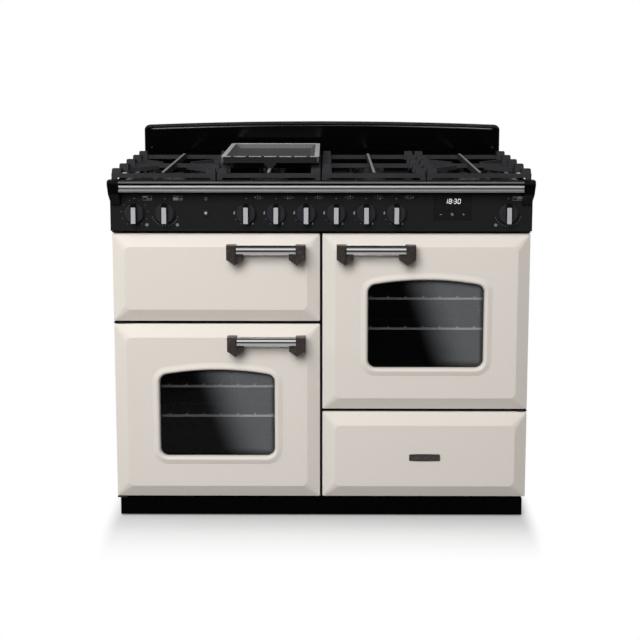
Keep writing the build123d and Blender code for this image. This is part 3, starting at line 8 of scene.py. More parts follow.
import bmesh
import bpy
import numpy as np
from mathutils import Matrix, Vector


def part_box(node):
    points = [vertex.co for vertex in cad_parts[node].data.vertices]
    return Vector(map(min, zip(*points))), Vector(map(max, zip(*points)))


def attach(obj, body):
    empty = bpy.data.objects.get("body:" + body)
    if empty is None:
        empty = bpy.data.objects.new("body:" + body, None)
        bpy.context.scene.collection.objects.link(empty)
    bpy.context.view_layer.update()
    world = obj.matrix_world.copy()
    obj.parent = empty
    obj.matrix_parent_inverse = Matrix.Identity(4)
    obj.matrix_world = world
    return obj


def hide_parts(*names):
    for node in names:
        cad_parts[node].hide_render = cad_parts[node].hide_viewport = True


bl_info = {
    "name": "Range Cooker Dressing",
    "version": (1, 0, 0),
    "blender": (4, 5, 0),
    "location": "3D View > Sidebar > Cooker",
    "description": "Enamel, metal and glass finishes, trim and prints for a range cooker",
    "category": "Object",
}

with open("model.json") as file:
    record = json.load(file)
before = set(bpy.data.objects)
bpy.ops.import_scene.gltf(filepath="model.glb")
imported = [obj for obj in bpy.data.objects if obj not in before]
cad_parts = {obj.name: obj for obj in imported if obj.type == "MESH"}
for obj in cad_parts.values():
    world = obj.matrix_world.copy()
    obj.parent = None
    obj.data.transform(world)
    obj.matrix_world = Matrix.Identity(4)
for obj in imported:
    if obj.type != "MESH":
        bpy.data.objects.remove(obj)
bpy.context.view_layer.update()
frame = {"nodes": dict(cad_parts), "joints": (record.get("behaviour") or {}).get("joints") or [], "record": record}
NODES = frame["nodes"]
JOINTS = {joint["name"]: joint for joint in frame["joints"]}

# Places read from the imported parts
FACE_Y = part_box("grill_door_panel")[0][1]
RAIL_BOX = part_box("front_rail")
GUARD_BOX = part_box("backguard")
CLOCK_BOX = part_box("clock_module")
GRIDDLE_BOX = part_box("griddle")
BUTTON_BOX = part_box("light_button")
KNOB_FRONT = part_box("hob_knob_1")[0][1]
KNOB_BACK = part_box("hob_knob_1")[1][1]
SUPPORT_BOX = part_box("pan_support_1")
RACK_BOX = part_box("oven_racks")
HOB_KNOBS = [f"hob_knob_{number}" for number in range(1, 7)]
OVEN_KNOBS = ["grill_knob", "left_oven_knob", "right_oven_knob"]
OVEN_DOORS = ["left_oven_door", "right_oven_door"]


def mid(box, axis):
    """Middle of a box on one axis: 0 for X, 1 for Y, 2 for Z."""
    return (box[0][axis] + box[1][axis]) / 2


# Small sizes that several pieces share
INK_GAP = 0.0002  # print stands this far in front of what carries it
INK_T = 0.0003
RAIL_SPLIT = RAIL_BOX[0][2] + (RAIL_BOX[1][2] - RAIL_BOX[0][2]) * 0.56  # where the rail's upper bead starts
RAIL_GROOVE = 0.0026  # between the rail's two beads
INSERT_T = 0.0015  # bright insert on a knob's grip
SKIRT_T = 0.012  # round part of a knob
SPINE_DROP = 0.008  # from a support's highest lugs down to the top of its spine

# Window in a door front, measured from the door's lower edge and from its middle
WINDOW_HALF = 0.15175
WINDOW_LOW = 0.114
WINDOW_SHOULDER = 0.3345
WINDOW_RISE = 0.015
WINDOW_CORNER = 0.022


# Settings

def tint(name, description, default):
    return bpy.props.FloatVectorProperty(
        name=name, description=description, subtype="COLOR", size=3, default=default, min=0.0, max=1.0)


def metres(name, description, default, **limits):
    return bpy.props.FloatProperty(
        name=name, description=description, default=default, unit="LENGTH", **limits)


class CookerColours(bpy.types.PropertyGroup):
    """Colours that a user would change."""
    cream: tint("Door enamel", "Colour of the doors and the drawer front", (0.715, 0.665, 0.608))
    black: tint("Hob enamel", "Colour of the hob deck and the backguard", (0.0008, 0.0008, 0.0011))
    fascia: tint("Fascia", "Colour of the control panel", (0.0120, 0.0120, 0.0123))
    iron: tint("Pan supports", "Colour of the cast iron", (0.027, 0.027, 0.029))
    ink: tint("Prints", "Colour of the marks on the fascia", (0.20, 0.22, 0.25))
    digits: tint("Clock digits", "Colour of the lit clock", (0.85, 0.88, 0.92))


class CookerSizes(bpy.types.PropertyGroup):
    """Sizes of the added trim, and the camera's place and lens."""
    trim_width: metres("Window trim", "Width of the raised edge round a window", 0.020, min=0.014)
    trim_height: metres("Window trim height", "How far it stands in front of the door", 0.0028, min=0.002)
    bead_width: metres("Backguard bead", "Width of the bead along the backguard's top", 0.0046, min=0.001)
    camera_distance: metres("Camera distance", "From the origin to the camera along -Y", 3.2468, min=1.0)
    camera_side: metres("Camera side", "From the middle towards +X", 0.0118)
    camera_height: metres("Camera height", "Above the floor", 1.2861, min=0.1)
    camera_turn: bpy.props.FloatProperty(
        name="Camera turn", description="Turn about the upright axis", default=0.005, subtype="ANGLE")
    camera_tilt: bpy.props.FloatProperty(
        name="Camera tilt", description="Downwards from level", default=math.radians(7.0), subtype="ANGLE")
    camera_shift: bpy.props.FloatProperty(
        name="Camera shift", description="Vertical lens shift, as a share of the frame", default=-0.2257)
    focal: bpy.props.FloatProperty(
        name="Focal length", description="In millimetres on a 36 mm sensor", default=65.18, min=10.0)


def colours():
    return bpy.context.scene.cooker_colours


def sizes():
    return bpy.context.scene.cooker_sizes


# Shader maths

class Val:
    """A node's output socket that takes part in Python arithmetic, adding Math nodes."""

    def __init__(self, tree, socket):
        self.tree = tree
        self.socket = socket

    def math(self, operation, first, second=0.0):
        return self.tree.node("ShaderNodeMath", {"operation": operation}, {0: first, 1: second})

    def __add__(self, other):
        return self.math("ADD", self, other)

    def __radd__(self, other):
        return self.math("ADD", other, self)

    def __sub__(self, other):
        return self.math("SUBTRACT", self, other)

    def __rsub__(self, other):
        return self.math("SUBTRACT", other, self)

    def __mul__(self, other):
        return self.math("MULTIPLY", self, other)

    def __rmul__(self, other):
        return self.math("MULTIPLY", other, self)

    def __truediv__(self, other):
        return self.math("DIVIDE", self, other)

    def __gt__(self, other):
        return self.math("GREATER_THAN", self, other)

    def __lt__(self, other):
        return self.math("LESS_THAN", self, other)

    def __abs__(self):
        return self.math("ABSOLUTE", self)

    def root(self):
        return self.math("SQRT", self)

    def fraction(self):
        return self.math("FRACT", self)

    def most(self, other):
        return self.math("MAXIMUM", self, other)

    def off_cell(self, pitch, before=8.0):
        """Distance from the middle of a row's cell, as a share of the pitch; the row starts before zero."""
        return abs((self / pitch + before).fraction() - 0.5)

    def step(self, low, high):
        """Rises smoothly from 0 to 1 between two values."""
        return self.tree.node("ShaderNodeMapRange", {"interpolation_type": "SMOOTHSTEP"},
                              {"Value": self, "From Min": low, "From Max": high})


class Tree:
    """A node tree, and the nodes that a material and the world have in common."""

    def __init__(self, tree):
        self.tree = tree

    def plug(self, node, key, value):
        socket = node.inputs[key]
        if isinstance(value, Val):
            self.tree.links.new(value.socket, socket)
        else:
            socket.default_value = value

    def node(self, kind, settings=None, values=None, out=0):
        """Any node: its settings are set first, then the values or links of its sockets."""
        node = self.tree.nodes.new(kind)
        for key, value in (settings or {}).items():
            setattr(node, key, value)
        for key, value in (values or {}).items():
            self.plug(node, key, value)
        return Val(self, node.outputs[out])

    def split(self, vector):
        """The three parts of a vector."""
        node = self.tree.nodes.new("ShaderNodeSeparateXYZ")
        self.plug(node, "Vector", vector)
        return [Val(self, socket) for socket in node.outputs]

    def rays(self):
        """1 for a camera ray, and 1 for a ray that a surface mirrors or lets through."""
        node = self.tree.nodes.new("ShaderNodeLightPath")
        names = ("Is Camera Ray", "Is Glossy Ray", "Is Transmission Ray")
        camera, glossy, through = [Val(self, node.outputs[name]) for name in names]
        return camera, glossy.most(through)

    def mix(self, factor, first, second):
        """Colour between two colours."""
        def full(value):
            return value if isinstance(value, Val) else (*value[:3], 1.0)
        node = self.tree.nodes.new("ShaderNodeMix")
        node.data_type = "RGBA"
        self.plug(node, "Factor", factor)
        self.plug(node, 6, full(first))
        self.plug(node, 7, full(second))
        return Val(self, node.outputs[2])


class Paint(Tree):
    """One procedural material: a Principled shader and the nodes that feed it."""

    def __init__(self, name):
        self.material = bpy.data.materials.new(f"{name}_finish")
        self.material.use_nodes = True
        super().__init__(self.material.node_tree)
        self.shader = self.tree.nodes["Principled BSDF"]

    def place(self):
        return self.node("ShaderNodeTexCoord", out="Object")

    def axes(self):
        """X, Y and Z of the surface point, in metres."""
        return self.split(self.place())

    def noise(self, scale, detail=2.0, stretch=(1.0, 1.0, 1.0)):
        """Noise of about 1/scale metres, stretched by a factor on each axis."""
        spot = self.node("ShaderNodeMapping", {"vector_type": "POINT"},
                         {"Vector": self.place(), "Scale": stretch})
        return self.node("ShaderNodeTexNoise", None, {"Vector": spot, "Scale": scale, "Detail": detail})

    def bump(self, height, strength, distance):
        values = {"Height": height, "Strength": strength, "Distance": distance}
        return self.node("ShaderNodeBump", None, values)

    def set(self, **values):
        """Values or links of the Principled shader, by name with _ for a space."""
        for key, value in values.items():
            name = key.replace("_", " ")
            if name in ("Base Color", "Emission Color") and not isinstance(value, Val):
                value = (*value[:3], 1.0)
            self.plug(self.shader, name, value)
        return self.material


def scaled(colour, factor):
    return tuple(min(1.0, channel * factor) for channel in colour[:3])


# Finishes

def cream_enamel():
    """Gloss vitreous enamel: a fine mottle of about 1 cm and an orange-peel surface of about 2 mm."""
    paint = Paint("cream_enamel")
    base = tuple(colours().cream)
    mottle = paint.noise(90.0, 4.0)
    peel = paint.noise(420.0, 2.0)
    return paint.set(
        Base_Color=paint.mix(mottle, scaled(base, 0.985), scaled(base, 1.015)),
        Roughness=0.36 + mottle * 0.08,
        Specular_IOR_Level=0.25,
        Coat_Weight=0.08,
        Coat_Roughness=0.2,
        Normal=paint.bump(peel, 0.05, 0.0004))


def black_enamel():
    """Gloss black enamel with fine pale flecks and slight waviness."""
    paint = Paint("black_enamel")
    base = tuple(colours().black)
    fleck = paint.noise(900.0, 1.0).step(0.70, 0.78)
    wave = paint.noise(28.0, 2.0)
    return paint.set(
        Base_Color=paint.mix(fleck * 0.15, base, (0.04, 0.04, 0.045)),
        Roughness=0.09 + wave * 0.06,
        Specular_IOR_Level=0.3,
        Normal=paint.bump(wave, 0.03, 0.0012))


def bead_enamel():
    """Gloss black enamel of the backguard's bead, with a painted highlight that grows paler towards both ends."""
    paint = Paint("bead_enamel")
    ends = (0.10, 0.46)  # from the middle, where dark turns to pale
    x, _, _ = paint.axes()
    # painted highlight: the bead's colour turns pale towards both ends
    painted_highlight = abs(x).step(*ends)
    grain = paint.noise(40.0, 2.0)
    return paint.set(
        Base_Color=paint.mix(painted_highlight, (0.010, 0.010, 0.012), (0.110, 0.118, 0.135)),
        Roughness=0.16 + grain * 0.08)


def fascia_black():
    """Satin black coating with a fine grain."""
    paint = Paint("fascia_black")
    base = tuple(colours().fascia)
    grain = paint.noise(1400.0, 2.0)
    cloud = paint.noise(60.0, 2.0)
    return paint.set(
        Base_Color=paint.mix(cloud, scaled(base, 0.88), scaled(base, 1.15)),
        Roughness=0.36 + grain * 0.14,
        Specular_IOR_Level=0.2,
        Normal=paint.bump(grain, 0.08, 0.0002))


def brushed(name, colour, stretch, low, high):
    """Metal with fine brush lines along one axis."""
    paint = Paint(name)
    lines = paint.noise(900.0, 3.0, stretch)
    return paint.set(
        Base_Color=paint.mix(lines, scaled(colour, 0.88), scaled(colour, 1.06)),
        Metallic=1.0,
        Roughness=low + lines * (high - low),
        Normal=paint.bump(lines, 0.04, 0.0001))


def pewter():
    """Dark antique metal, a little lighter in its worn spots."""
    paint = Paint("pewter")
    wear = paint.noise(140.0, 4.0).step(0.52, 0.75)
    return paint.set(
        Base_Color=paint.mix(wear, (0.062, 0.050, 0.045), (0.125, 0.108, 0.100)),
        Metallic=0.45,
        Roughness=0.34 + wear * 0.12,
        Normal=paint.bump(wear, 0.10, 0.0003))


def oven_glass():
    """Dark tinted panes, of which the inner one is nearly clear.

    A painted reflection makes them paler and clearer in the right half of each window, and a soft dark print runs
    along the edges.
    """
    paint = Paint("oven_glass")
    inner_back = 0.010  # the inner pane lies farther back than this
    side_print, sill_print, arch_print = (0.003, 0.014), (0.002, 0.022), (0.002, 0.013)
    slant, reflection_span, under_print = 0.55, (0.06, 0.90), 0.25
    cover, pale_loss, inner_loss = 0.50, 0.17, 0.94
    x, y, z = paint.axes()
    left, right = [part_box(f"{door}_panel") for door in OVEN_DOORS]
    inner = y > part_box(f"{OVEN_DOORS[0]}_glass")[0][1] + inner_back
    on_right = x > 0.0
    across = x - (mid(left, 0) + on_right * (mid(right, 0) - mid(left, 0)))
    rise = z - (left[0][2] + WINDOW_LOW + on_right * (right[0][2] - left[0][2]))
    share = across / WINDOW_HALF
    height = WINDOW_SHOULDER + WINDOW_RISE - WINDOW_LOW
    under_arch = height - share * share * WINDOW_RISE - rise
    border = (WINDOW_HALF - abs(across)).step(*side_print) * rise.step(*sill_print)
    border = border * under_arch.step(*arch_print)
    # painted reflection: paler and clearer towards the right of each window, less so under the print
    pale = (share + rise * (slant / height)).step(*reflection_span)
    painted_reflection = pale * (under_print + border * (1.0 - under_print))
    smear = paint.noise(7.0, 3.0, (1.0, 1.0, 3.0))
    return paint.set(
        Base_Color=paint.mix(painted_reflection * (0.92 + smear * 0.16), (0.001, 0.001, 0.0012), (0.215, 0.224, 0.233)),
        Roughness=0.03 + smear * 0.04,
        Specular_IOR_Level=0.2,
        Alpha=(cover - painted_reflection * pale_loss) * (1.0 - inner * inner_loss))


def knob_finish():
    """Satin black skirt, gloss grip, and an insert of brushed alloy on the grip's front."""
    paint = Paint("knob_black")
    _, y, _ = paint.axes()
    short_of, beyond = 0.97, 1.03  # so that neither seam lies on a face
    bright = y < (KNOB_FRONT + short_of * INSERT_T)
    skirt = y > (KNOB_BACK - beyond * SKIRT_T)
    grain = paint.noise(700.0, 2.0, (6.0, 1.0, 0.4))
    metal = paint.mix(grain, (0.44, 0.44, 0.455), (0.60, 0.60, 0.615))
    plastic = paint.mix(skirt, (0.004, 0.004, 0.005), (0.023, 0.022, 0.027))
    return paint.set(
        Base_Color=paint.mix(bright, plastic, metal),
        Metallic=bright * 0.25,
        Specular_IOR_Level=0.25,
        Roughness=0.16 + bright * 0.18 + skirt * 0.16 + grain * 0.05)


def gloss_black(name, colour, rough, shine=0.4):
    """Moulded gloss black with faint flow marks."""
    paint = Paint(name)
    flow = paint.noise(60.0, 2.0, (1.0, 1.0, 4.0))
    return paint.set(
        Base_Color=paint.mix(flow, scaled(colour, 0.8), scaled(colour, 1.25)),
        Roughness=rough + flow * 0.06,
        Specular_IOR_Level=shine)


def cast_iron():
    """Matt enamelled casting: sand-cast grain of about 1 mm, and a paler, smoother strip along each spine, its
    paler tone a painted highlight.
    """
    paint = Paint("support_iron")
    strip_half, flush = 0.0032, 0.0006
    base = tuple(colours().iron)
    x, _, z = paint.axes()
    sand = paint.noise(1100.0, 3.0)
    cloud = paint.noise(30.0, 3.0)
    spine_top = SUPPORT_BOX[1][2] - SPINE_DROP
    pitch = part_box("pan_support_2")[0][0] - SUPPORT_BOX[0][0]
    along_spine = x.off_cell(pitch) < strip_half / pitch
    # painted highlight: the paler tone of the smoother strip along each spine's top
    worn = (abs(z - spine_top) < flush) * along_spine
    coat = paint.mix(cloud, scaled(base, 0.75), scaled(base, 1.35))
    return paint.set(
        Base_Color=paint.mix(worn * (0.6 + sand * 0.4), coat, (0.34, 0.34, 0.335)),
        Specular_IOR_Level=0.3,
        Roughness=0.42 + sand * 0.22 - worn * 0.12,
        Normal=paint.bump(sand, 0.25, 0.0004))


def griddle_finish():
    """Dark seasoned plate and outer walls; the metal rim and flared inner walls are painted bright as a highlight,
    with breaks in front.
    """
    paint = Paint("griddle_alloy")
    flush, rim_t, flare_depth, front_depth = 0.0003, 0.0006, 0.0117, 0.0125
    gap_pitch, gap_half, gap_row = 0.0405, 0.10, 2.9  # spacing, then half a gap and half the row in spacings
    x, y, z = paint.axes()
    low, high = GRIDDLE_BOX
    side = x - mid(GRIDDLE_BOX, 0)
    ahead = y - mid(GRIDDLE_BOX, 1)
    edge = (abs(side) - (high[0] - low[0]) / 2).most(abs(ahead) - (high[1] - low[1]) / 2)
    outer_wall = (edge > -flush) * (z < high[2] - rim_t)
    flared = (1.0 - outer_wall) * (z > high[2] - flare_depth)
    front = y < low[1] + front_depth
    gap = (side.off_cell(gap_pitch) < gap_half) * (abs(side) < gap_row * gap_pitch)
    rim = flared * (1.0 - front * gap)
    top = rim * (z > high[2] - rim_t)
    plate = (1.0 - outer_wall) * (1.0 - flared)
    grain = paint.noise(600.0, 3.0)
    used = paint.mix(grain, (0.050, 0.050, 0.051), (0.090, 0.087, 0.085))
    seasoned = paint.mix(plate, (0.016, 0.016, 0.018), used)
    # painted highlight: palest on the rim's top, paler on the flared inner walls
    bright = paint.mix(top, paint.mix(grain, (0.09, 0.09, 0.09), (0.16, 0.16, 0.158)), (0.62, 0.62, 0.60))
    return paint.set(
        Base_Color=paint.mix(rim, seasoned, bright),
        Metallic=rim * 0.3,
        Specular_IOR_Level=0.2,
        Roughness=0.42 - rim * 0.08,
        Normal=paint.bump(grain, 0.12, 0.0003))


def rack_finish():
    """Chromed wire with a painted lit front that glows faintly, and painted shade behind."""
    paint = Paint("rack_chrome")
    front_wire = (0.004, 0.012)  # from the racks' front, where the painted lit front turns to painted shade
    _, y, _ = paint.axes()
    # painted light and shade: a bright, glowing front wire and dark wire behind it
    shaded_behind = (y - RACK_BOX[0][1]).step(*front_wire)
    grain = paint.noise(500.0, 2.0)
    return paint.set(
        Base_Color=paint.mix(shaded_behind, (0.84, 0.87, 0.91), (0.13, 0.13, 0.137)),
        Metallic=0.1 + shaded_behind * 0.65,
        Roughness=0.22 + grain * 0.1,
        Emission_Color=paint.mix(shaded_behind, (0.085, 0.090, 0.098), (0.0, 0.0, 0.0)),
        Emission_Strength=1.0)


def rail_finish():
    """Brushed bar whose tones are painted reflections and shade: a bright upper bead, a dark groove and a greyer
    lower bead; the lip's bead is darker.
    """
    paint = Paint("rail_steel")
    _, _, z = paint.axes()
    lines = paint.noise(900.0, 3.0, (0.02, 1.0, 1.0))
    upper = z > RAIL_SPLIT
    lower = z < RAIL_SPLIT - RAIL_GROOVE
    # the lip's bead is a darker grey, a painted highlight on the deck's black lip
    lip = z > RAIL_BOX[1][2]
    # painted reflections and shade: tones by height for the upper bead, the groove and the lower bead
    tone = paint.mix(upper, paint.mix(lower, (0.17, 0.17, 0.18), (0.28, 0.275, 0.27)), (0.64, 0.64, 0.64))
    return paint.set(
        Base_Color=paint.mix(lip, tone, paint.mix(lines, (0.13, 0.13, 0.135), (0.16, 0.16, 0.165))),
        Metallic=0.5,
        Roughness=0.18 + lines * 0.10 + lip * 0.2,
        Normal=paint.bump(lines, 0.04, 0.0001))


def speckled(name, dark, light):
    """Enamel with pale specks of about 2 mm."""
    paint = Paint(name)
    specks = paint.noise(480.0, 1.0).step(0.62, 0.70)
    cloud = paint.noise(20.0, 2.0)
    return paint.set(
        Base_Color=paint.mix(specks * 0.5, dark, light),
        Roughness=0.22 + cloud * 0.16)


def plain_grain(name, colour, rough, metallic=0.0, scale=500.0, shine=0.5):
    """Plain coating or moulding with a fine grain."""
    paint = Paint(name)
    grain = paint.noise(scale, 3.0)
    cloud = paint.noise(14.0, 2.0)
    return paint.set(
        Base_Color=paint.mix(cloud, scaled(colour, 0.85), scaled(colour, 1.15)),
        Metallic=metallic,
        Specular_IOR_Level=shine,
        Roughness=rough + grain * 0.12,
        Normal=paint.bump(grain, 0.10, 0.0002))


def button_finish():
    """Dark chromed push button with a painted highlight in its middle."""
    paint = Paint("button_chrome")
    x, _, z = paint.axes()
    highlight_edge = (0.0026, 0.0038)
    across = x - mid(BUTTON_BOX, 0)
    up = z - mid(BUTTON_BOX, 2)
    # painted highlight: a bright round spot in the button's middle
    spot = 1.0 - (across * across + up * up).root().step(*highlight_edge)
    grain = paint.noise(500.0, 2.0)
    return paint.set(
        Base_Color=paint.mix(spot, (0.03, 0.03, 0.031), (0.62, 0.62, 0.62)),
        Metallic=0.3,
        Roughness=0.28 + grain * 0.1)


def control_plastic():
    """Dark switch bodies, whose lamp lenses in front of the fascia are milky."""
    paint = Paint("control_plastic")
    behind_face = 0.0005
    _, y, _ = paint.axes()
    lens = y < (FACE_Y + behind_face)
    grain = paint.noise(500.0, 3.0)
    milk = paint.mix(grain, (0.16, 0.165, 0.17), (0.22, 0.225, 0.23))
    return paint.set(
        Base_Color=paint.mix(lens, (0.022, 0.022, 0.023), milk),
        Roughness=0.50 - lens * 0.25 + grain * 0.1)


def lit(name, colour, strength):
    """Lit digits: an even glow over a slightly uneven surface colour."""
    paint = Paint(name)
    shade = paint.noise(300.0, 1.0)
    return paint.set(
        Base_Color=paint.mix(shade, scaled(colour, 0.7), scaled(colour, 0.8)),
        Roughness=0.5,
        Emission_Color=colour,
        Emission_Strength=strength)


def ink(name, colour):
    """Screen print: slightly uneven and matt."""
    paint = Paint(name)
    shade = paint.noise(700.0, 2.0)
    return paint.set(
        Base_Color=paint.mix(shade, scaled(colour, 0.9), scaled(colour, 1.1)),
        Roughness=0.45 + shade * 0.1)


# Surfaces. A shell is an array of points and a list of arrays of faces.

def grid_faces(rows, columns, wrap_rows=False, wrap_columns=False):
    """Quads of a grid of points, numbered row by row, joined round where asked."""
    last_row = rows if wrap_rows else rows - 1
    last_column = columns if wrap_columns else columns - 1
    row, column = np.meshgrid(np.arange(last_row), np.arange(last_column), indexing="ij")
    below = (row + 1) % rows
    beside = (column + 1) % columns
    corners = [(row, column), (below, column), (below, beside), (row, beside)]
    return np.stack([down * columns + along for down, along in corners], axis=-1).reshape(-1, 4)


def linked(name, data):
    """A new object of the scene."""
    item = bpy.data.objects.new(name, data)
    bpy.context.scene.collection.objects.link(item)
    return item


def surface(name, shells, body, material, smooth=True):
    """One object from several closed shells, with its faces turned outwards; it rides on a body."""
    starts = np.cumsum([0] + [len(points) for points, _ in shells])
    points = np.concatenate([points for points, _ in shells])
    blocks = [block + start for start, (_, shell) in zip(starts, shells) for block in shell]
    faces = [face for block in blocks for face in block.tolist()]
    mesh = bpy.data.meshes.new(name)
    mesh.from_pydata(points, [], faces)
    shape = bmesh.new()
    shape.from_mesh(mesh)
    bmesh.ops.recalc_face_normals(shape, faces=shape.faces)
    shape.to_mesh(mesh)
    shape.free()
    mesh.polygons.foreach_set("use_smooth", np.full(len(mesh.polygons), smooth))
    mesh.update()
    piece = linked(name, mesh)
    mesh.materials.append(material)
    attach(piece, body)
    return piece


def swept(rows):
    """Closed skin over rows of points: one closed profile, place after place, with both ends shut."""
    count, width, _ = rows.shape
    ends = np.array([np.arange(width), (count - 1) * width + np.arange(width)])
    return rows.reshape(-1, 3), [grid_faces(count, width, wrap_columns=True), ends]


def prism(outline, front, back):
    """Flat print or plate: an outline in X and Z, run from a front depth to a back depth."""
    outline = np.asarray(outline, dtype=float)
    x, z = outline.T
    return swept(np.stack([np.column_stack([x, np.full(len(x), depth), z]) for depth in (front, back)]))


def straight(profile, start, end):
    """Profile in Y and Z, run straight along X between two places."""
    profile = np.asarray(profile, dtype=float)
    rows = np.stack([np.column_stack([np.full(len(profile), x), profile]) for x in (start, end)])
    return swept(rows)


def looped(rows):
    """Closed skin over rows of points that run round and join up again."""
    count, width, _ = rows.shape
    return rows.reshape(-1, 3), [grid_faces(count, width, True, True)]


def ring(centre, inner, outer, front, back, count=28):
    """Flat ring: a rectangle of depth and radius carried round a circle."""
    angle = np.linspace(0.0, 2.0 * np.pi, count, endpoint=False)[:, None]
    radius = np.array([inner, outer, outer, inner])[None, :]
    depth = np.array([front, front, back, back])[None, :] + 0.0 * angle
    x, z = centre[0] + radius * np.cos(angle), centre[1] + radius * np.sin(angle)
    return looped(np.stack([x, depth, z], axis=-1))


def box_frame(centre, width, height, line, front, back):
    """Box drawn with an even line: a rectangle of depth and inset carried round four corners."""
    corner = np.array([(-1, -1), (1, -1), (1, 1), (-1, 1)], dtype=float)[:, None, :]
    inset = np.array([line, 0.0, 0.0, line])[None, :, None]
    flat = np.array(centre) + corner * (np.array([width, height]) / 2 - inset)
    depth = np.broadcast_to(np.array([front, front, back, back])[None, :], flat.shape[:2])
    return looped(np.stack([flat[..., 0], depth, flat[..., 1]], axis=-1))


def round_outline(centre, radius, count=24):
    """Points of a circle: centre + radius (cos, sin)."""
    angle = np.linspace(0.0, 2.0 * np.pi, count, endpoint=False)
    return np.column_stack([centre[0] + radius * np.cos(angle), centre[1] + radius * np.sin(angle)])


def around(x, z, radius, turn):
    """Place at a radius and an angle in degrees round a centre."""
    angle = math.radians(turn)
    return (x + radius * math.cos(angle), z + radius * math.sin(angle))


def box_outline(centre, width, height, lean=0.0):
    """Four corners of a box whose upper edge is moved sideways by lean."""
    x, z = centre
    return [(x - width / 2, z - height / 2), (x + width / 2, z - height / 2),
            (x + width / 2 + lean, z + height / 2), (x - width / 2 + lean, z + height / 2)]


def flame_outline(centre, size, count=28):
    """Flame: a narrowed circle drawn out to a bent point at its top, r = b + p exp(-(a / w)^2)."""
    base, point, point_width = 0.5, 0.55, 0.45
    bend, bend_width, narrow = 0.16, 0.6, 0.78
    angle = np.linspace(-np.pi, np.pi, count, endpoint=False)
    reach = size * (base + point * np.exp(-(angle / point_width) ** 2))
    aside = size * bend * np.exp(-(angle / bend_width) ** 2)
    x = centre[0] + reach * np.sin(angle) * narrow + aside
    return np.column_stack([x, centre[1] + reach * np.cos(angle)])


def dome(centre, radius, height, face, count=20):
    """Low round head on an upright face: r = R cos t, depth = h sin t, for t from 0 to 0.46 pi."""
    angle = np.linspace(0.0, 2.0 * np.pi, count, endpoint=False)[None, :]
    rise = np.linspace(0.0, 0.46 * np.pi, 6)[:, None]
    reach = radius * np.cos(rise)
    depth = face - height * np.sin(rise) + 0.0 * angle
    x, z = centre[0] + reach * np.cos(angle), centre[1] + reach * np.sin(angle)
    return swept(np.stack([x, depth, z], axis=-1))


def window_path(middle_x, low, y, per_arc=12):
    """Window outline with its outward normals: straight sides, round lower corners and a flat arch on top.

    The arch's radius is (w^2 + h^2) / 2h for half width w and rise h; a corner of radius r is tangent to
    the side and to the arch.
    """
    half, rise, corner = WINDOW_HALF, WINDOW_RISE, WINDOW_CORNER
    bottom, shoulder = low + WINDOW_LOW, low + WINDOW_SHOULDER
    big = (half ** 2 + rise ** 2) / (2 * rise)
    centre_z = shoulder + rise - big
    corner_z = centre_z + math.sqrt((big - corner) ** 2 - (half - corner) ** 2)
    lean = math.atan2(half - corner, corner_z - centre_z)
    arcs = [
        (0.0, centre_z, big, np.pi / 2 - np.linspace(lean, -lean, 3 * per_arc)),
        (corner - half, corner_z, corner, np.linspace(np.pi / 2 + lean, np.pi, per_arc)[1:]),
        (corner - half, bottom + corner, corner, np.linspace(np.pi, 1.5 * np.pi, per_arc)),
        (half - corner, bottom + corner, corner, np.linspace(1.5 * np.pi, 2.0 * np.pi, per_arc)),
        (half - corner, corner_z, corner, np.linspace(0.0, np.pi / 2 - lean, per_arc)[:-1]),
    ]
    centres = np.concatenate([np.tile((middle_x + x, y, z), (len(a), 1)) for x, z, _, a in arcs])
    radius = np.concatenate([np.full((len(a), 1), r) for _, _, r, a in arcs])
    outward = np.concatenate([np.column_stack([np.cos(a), 0.0 * a, np.sin(a)]) for _, _, _, a in arcs])
    return centres + radius * outward, outward


class InkLayer:
    """Thin flat marks in front of an upright face."""

    def __init__(self, face):
        self.back = face - INK_GAP
        self.front = face - INK_GAP - INK_T

    def flat(self, outline):
        return prism(outline, self.front, self.back)

    def disc(self, centre, radius, count=24):
        return self.flat(round_outline(centre, radius, count))

    def bar(self, centre, width, height, lean=0.0):
        return self.flat(box_outline(centre, width, height, lean))

    def hoop(self, centre, inner, outer, count=28):
        return ring(centre, inner, outer, self.front, self.back, count)


# Pieces

class COOKER_OT_finishes(bpy.types.Operator):
    """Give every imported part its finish"""
    bl_idname = "cooker.finishes"
    bl_label = "Finishes"

    def execute(self, context):
        made = {
            "cream_enamel": cream_enamel(),
            "black_enamel": black_enamel(),
            "plinth_black": plain_grain("plinth_black", (0.0008, 0.0008, 0.0008), 0.55, shine=0.02),
            "fascia_black": fascia_black(),
            "rail_steel": rail_finish(),
            "cap_black": gloss_black("cap_black", (0.002, 0.002, 0.002), 0.22, 0.08),
            "handle_chrome": brushed("handle_chrome", (0.70, 0.70, 0.71), (0.03, 1.0, 1.0), 0.05, 0.12),
            "pewter": pewter(),
            "oven_glass": oven_glass(),
            "knob_black": knob_finish(),
            "clock_face": gloss_black("clock_face", (0.010, 0.010, 0.0105), 0.06, 0.2),
            "support_iron": cast_iron(),
            "griddle_alloy": griddle_finish(),
            "burner_alloy": brushed("burner_alloy", (0.60, 0.60, 0.60), (1.0, 1.0, 0.2), 0.20, 0.36),
            "oven_enamel": speckled("oven_enamel", (0.010, 0.010, 0.012), (0.08, 0.08, 0.09)),
            "rack_chrome": rack_finish(),
            "casing_paint": plain_grain("casing_paint", (0.006, 0.006, 0.006), 0.45),
            "zinc_steel": plain_grain("zinc_steel", (0.42, 0.43, 0.45), 0.34, 1.0, 90.0),
            "liner_enamel": speckled("liner_enamel", (0.014, 0.014, 0.016), (0.12, 0.12, 0.13)),
            "brass_fittings": plain_grain("brass_fittings", (0.58, 0.42, 0.17), 0.28, 1.0),
            "control_plastic": control_plastic(),
        }
        for part in frame["record"]["subparts"]:
            slots = NODES[part["node"]].data.materials
            slots.clear()
            slots.append(made[part["material_slot"]])
        NODES["light_button"].data.materials[0] = button_finish()
        return {"FINISHED"}


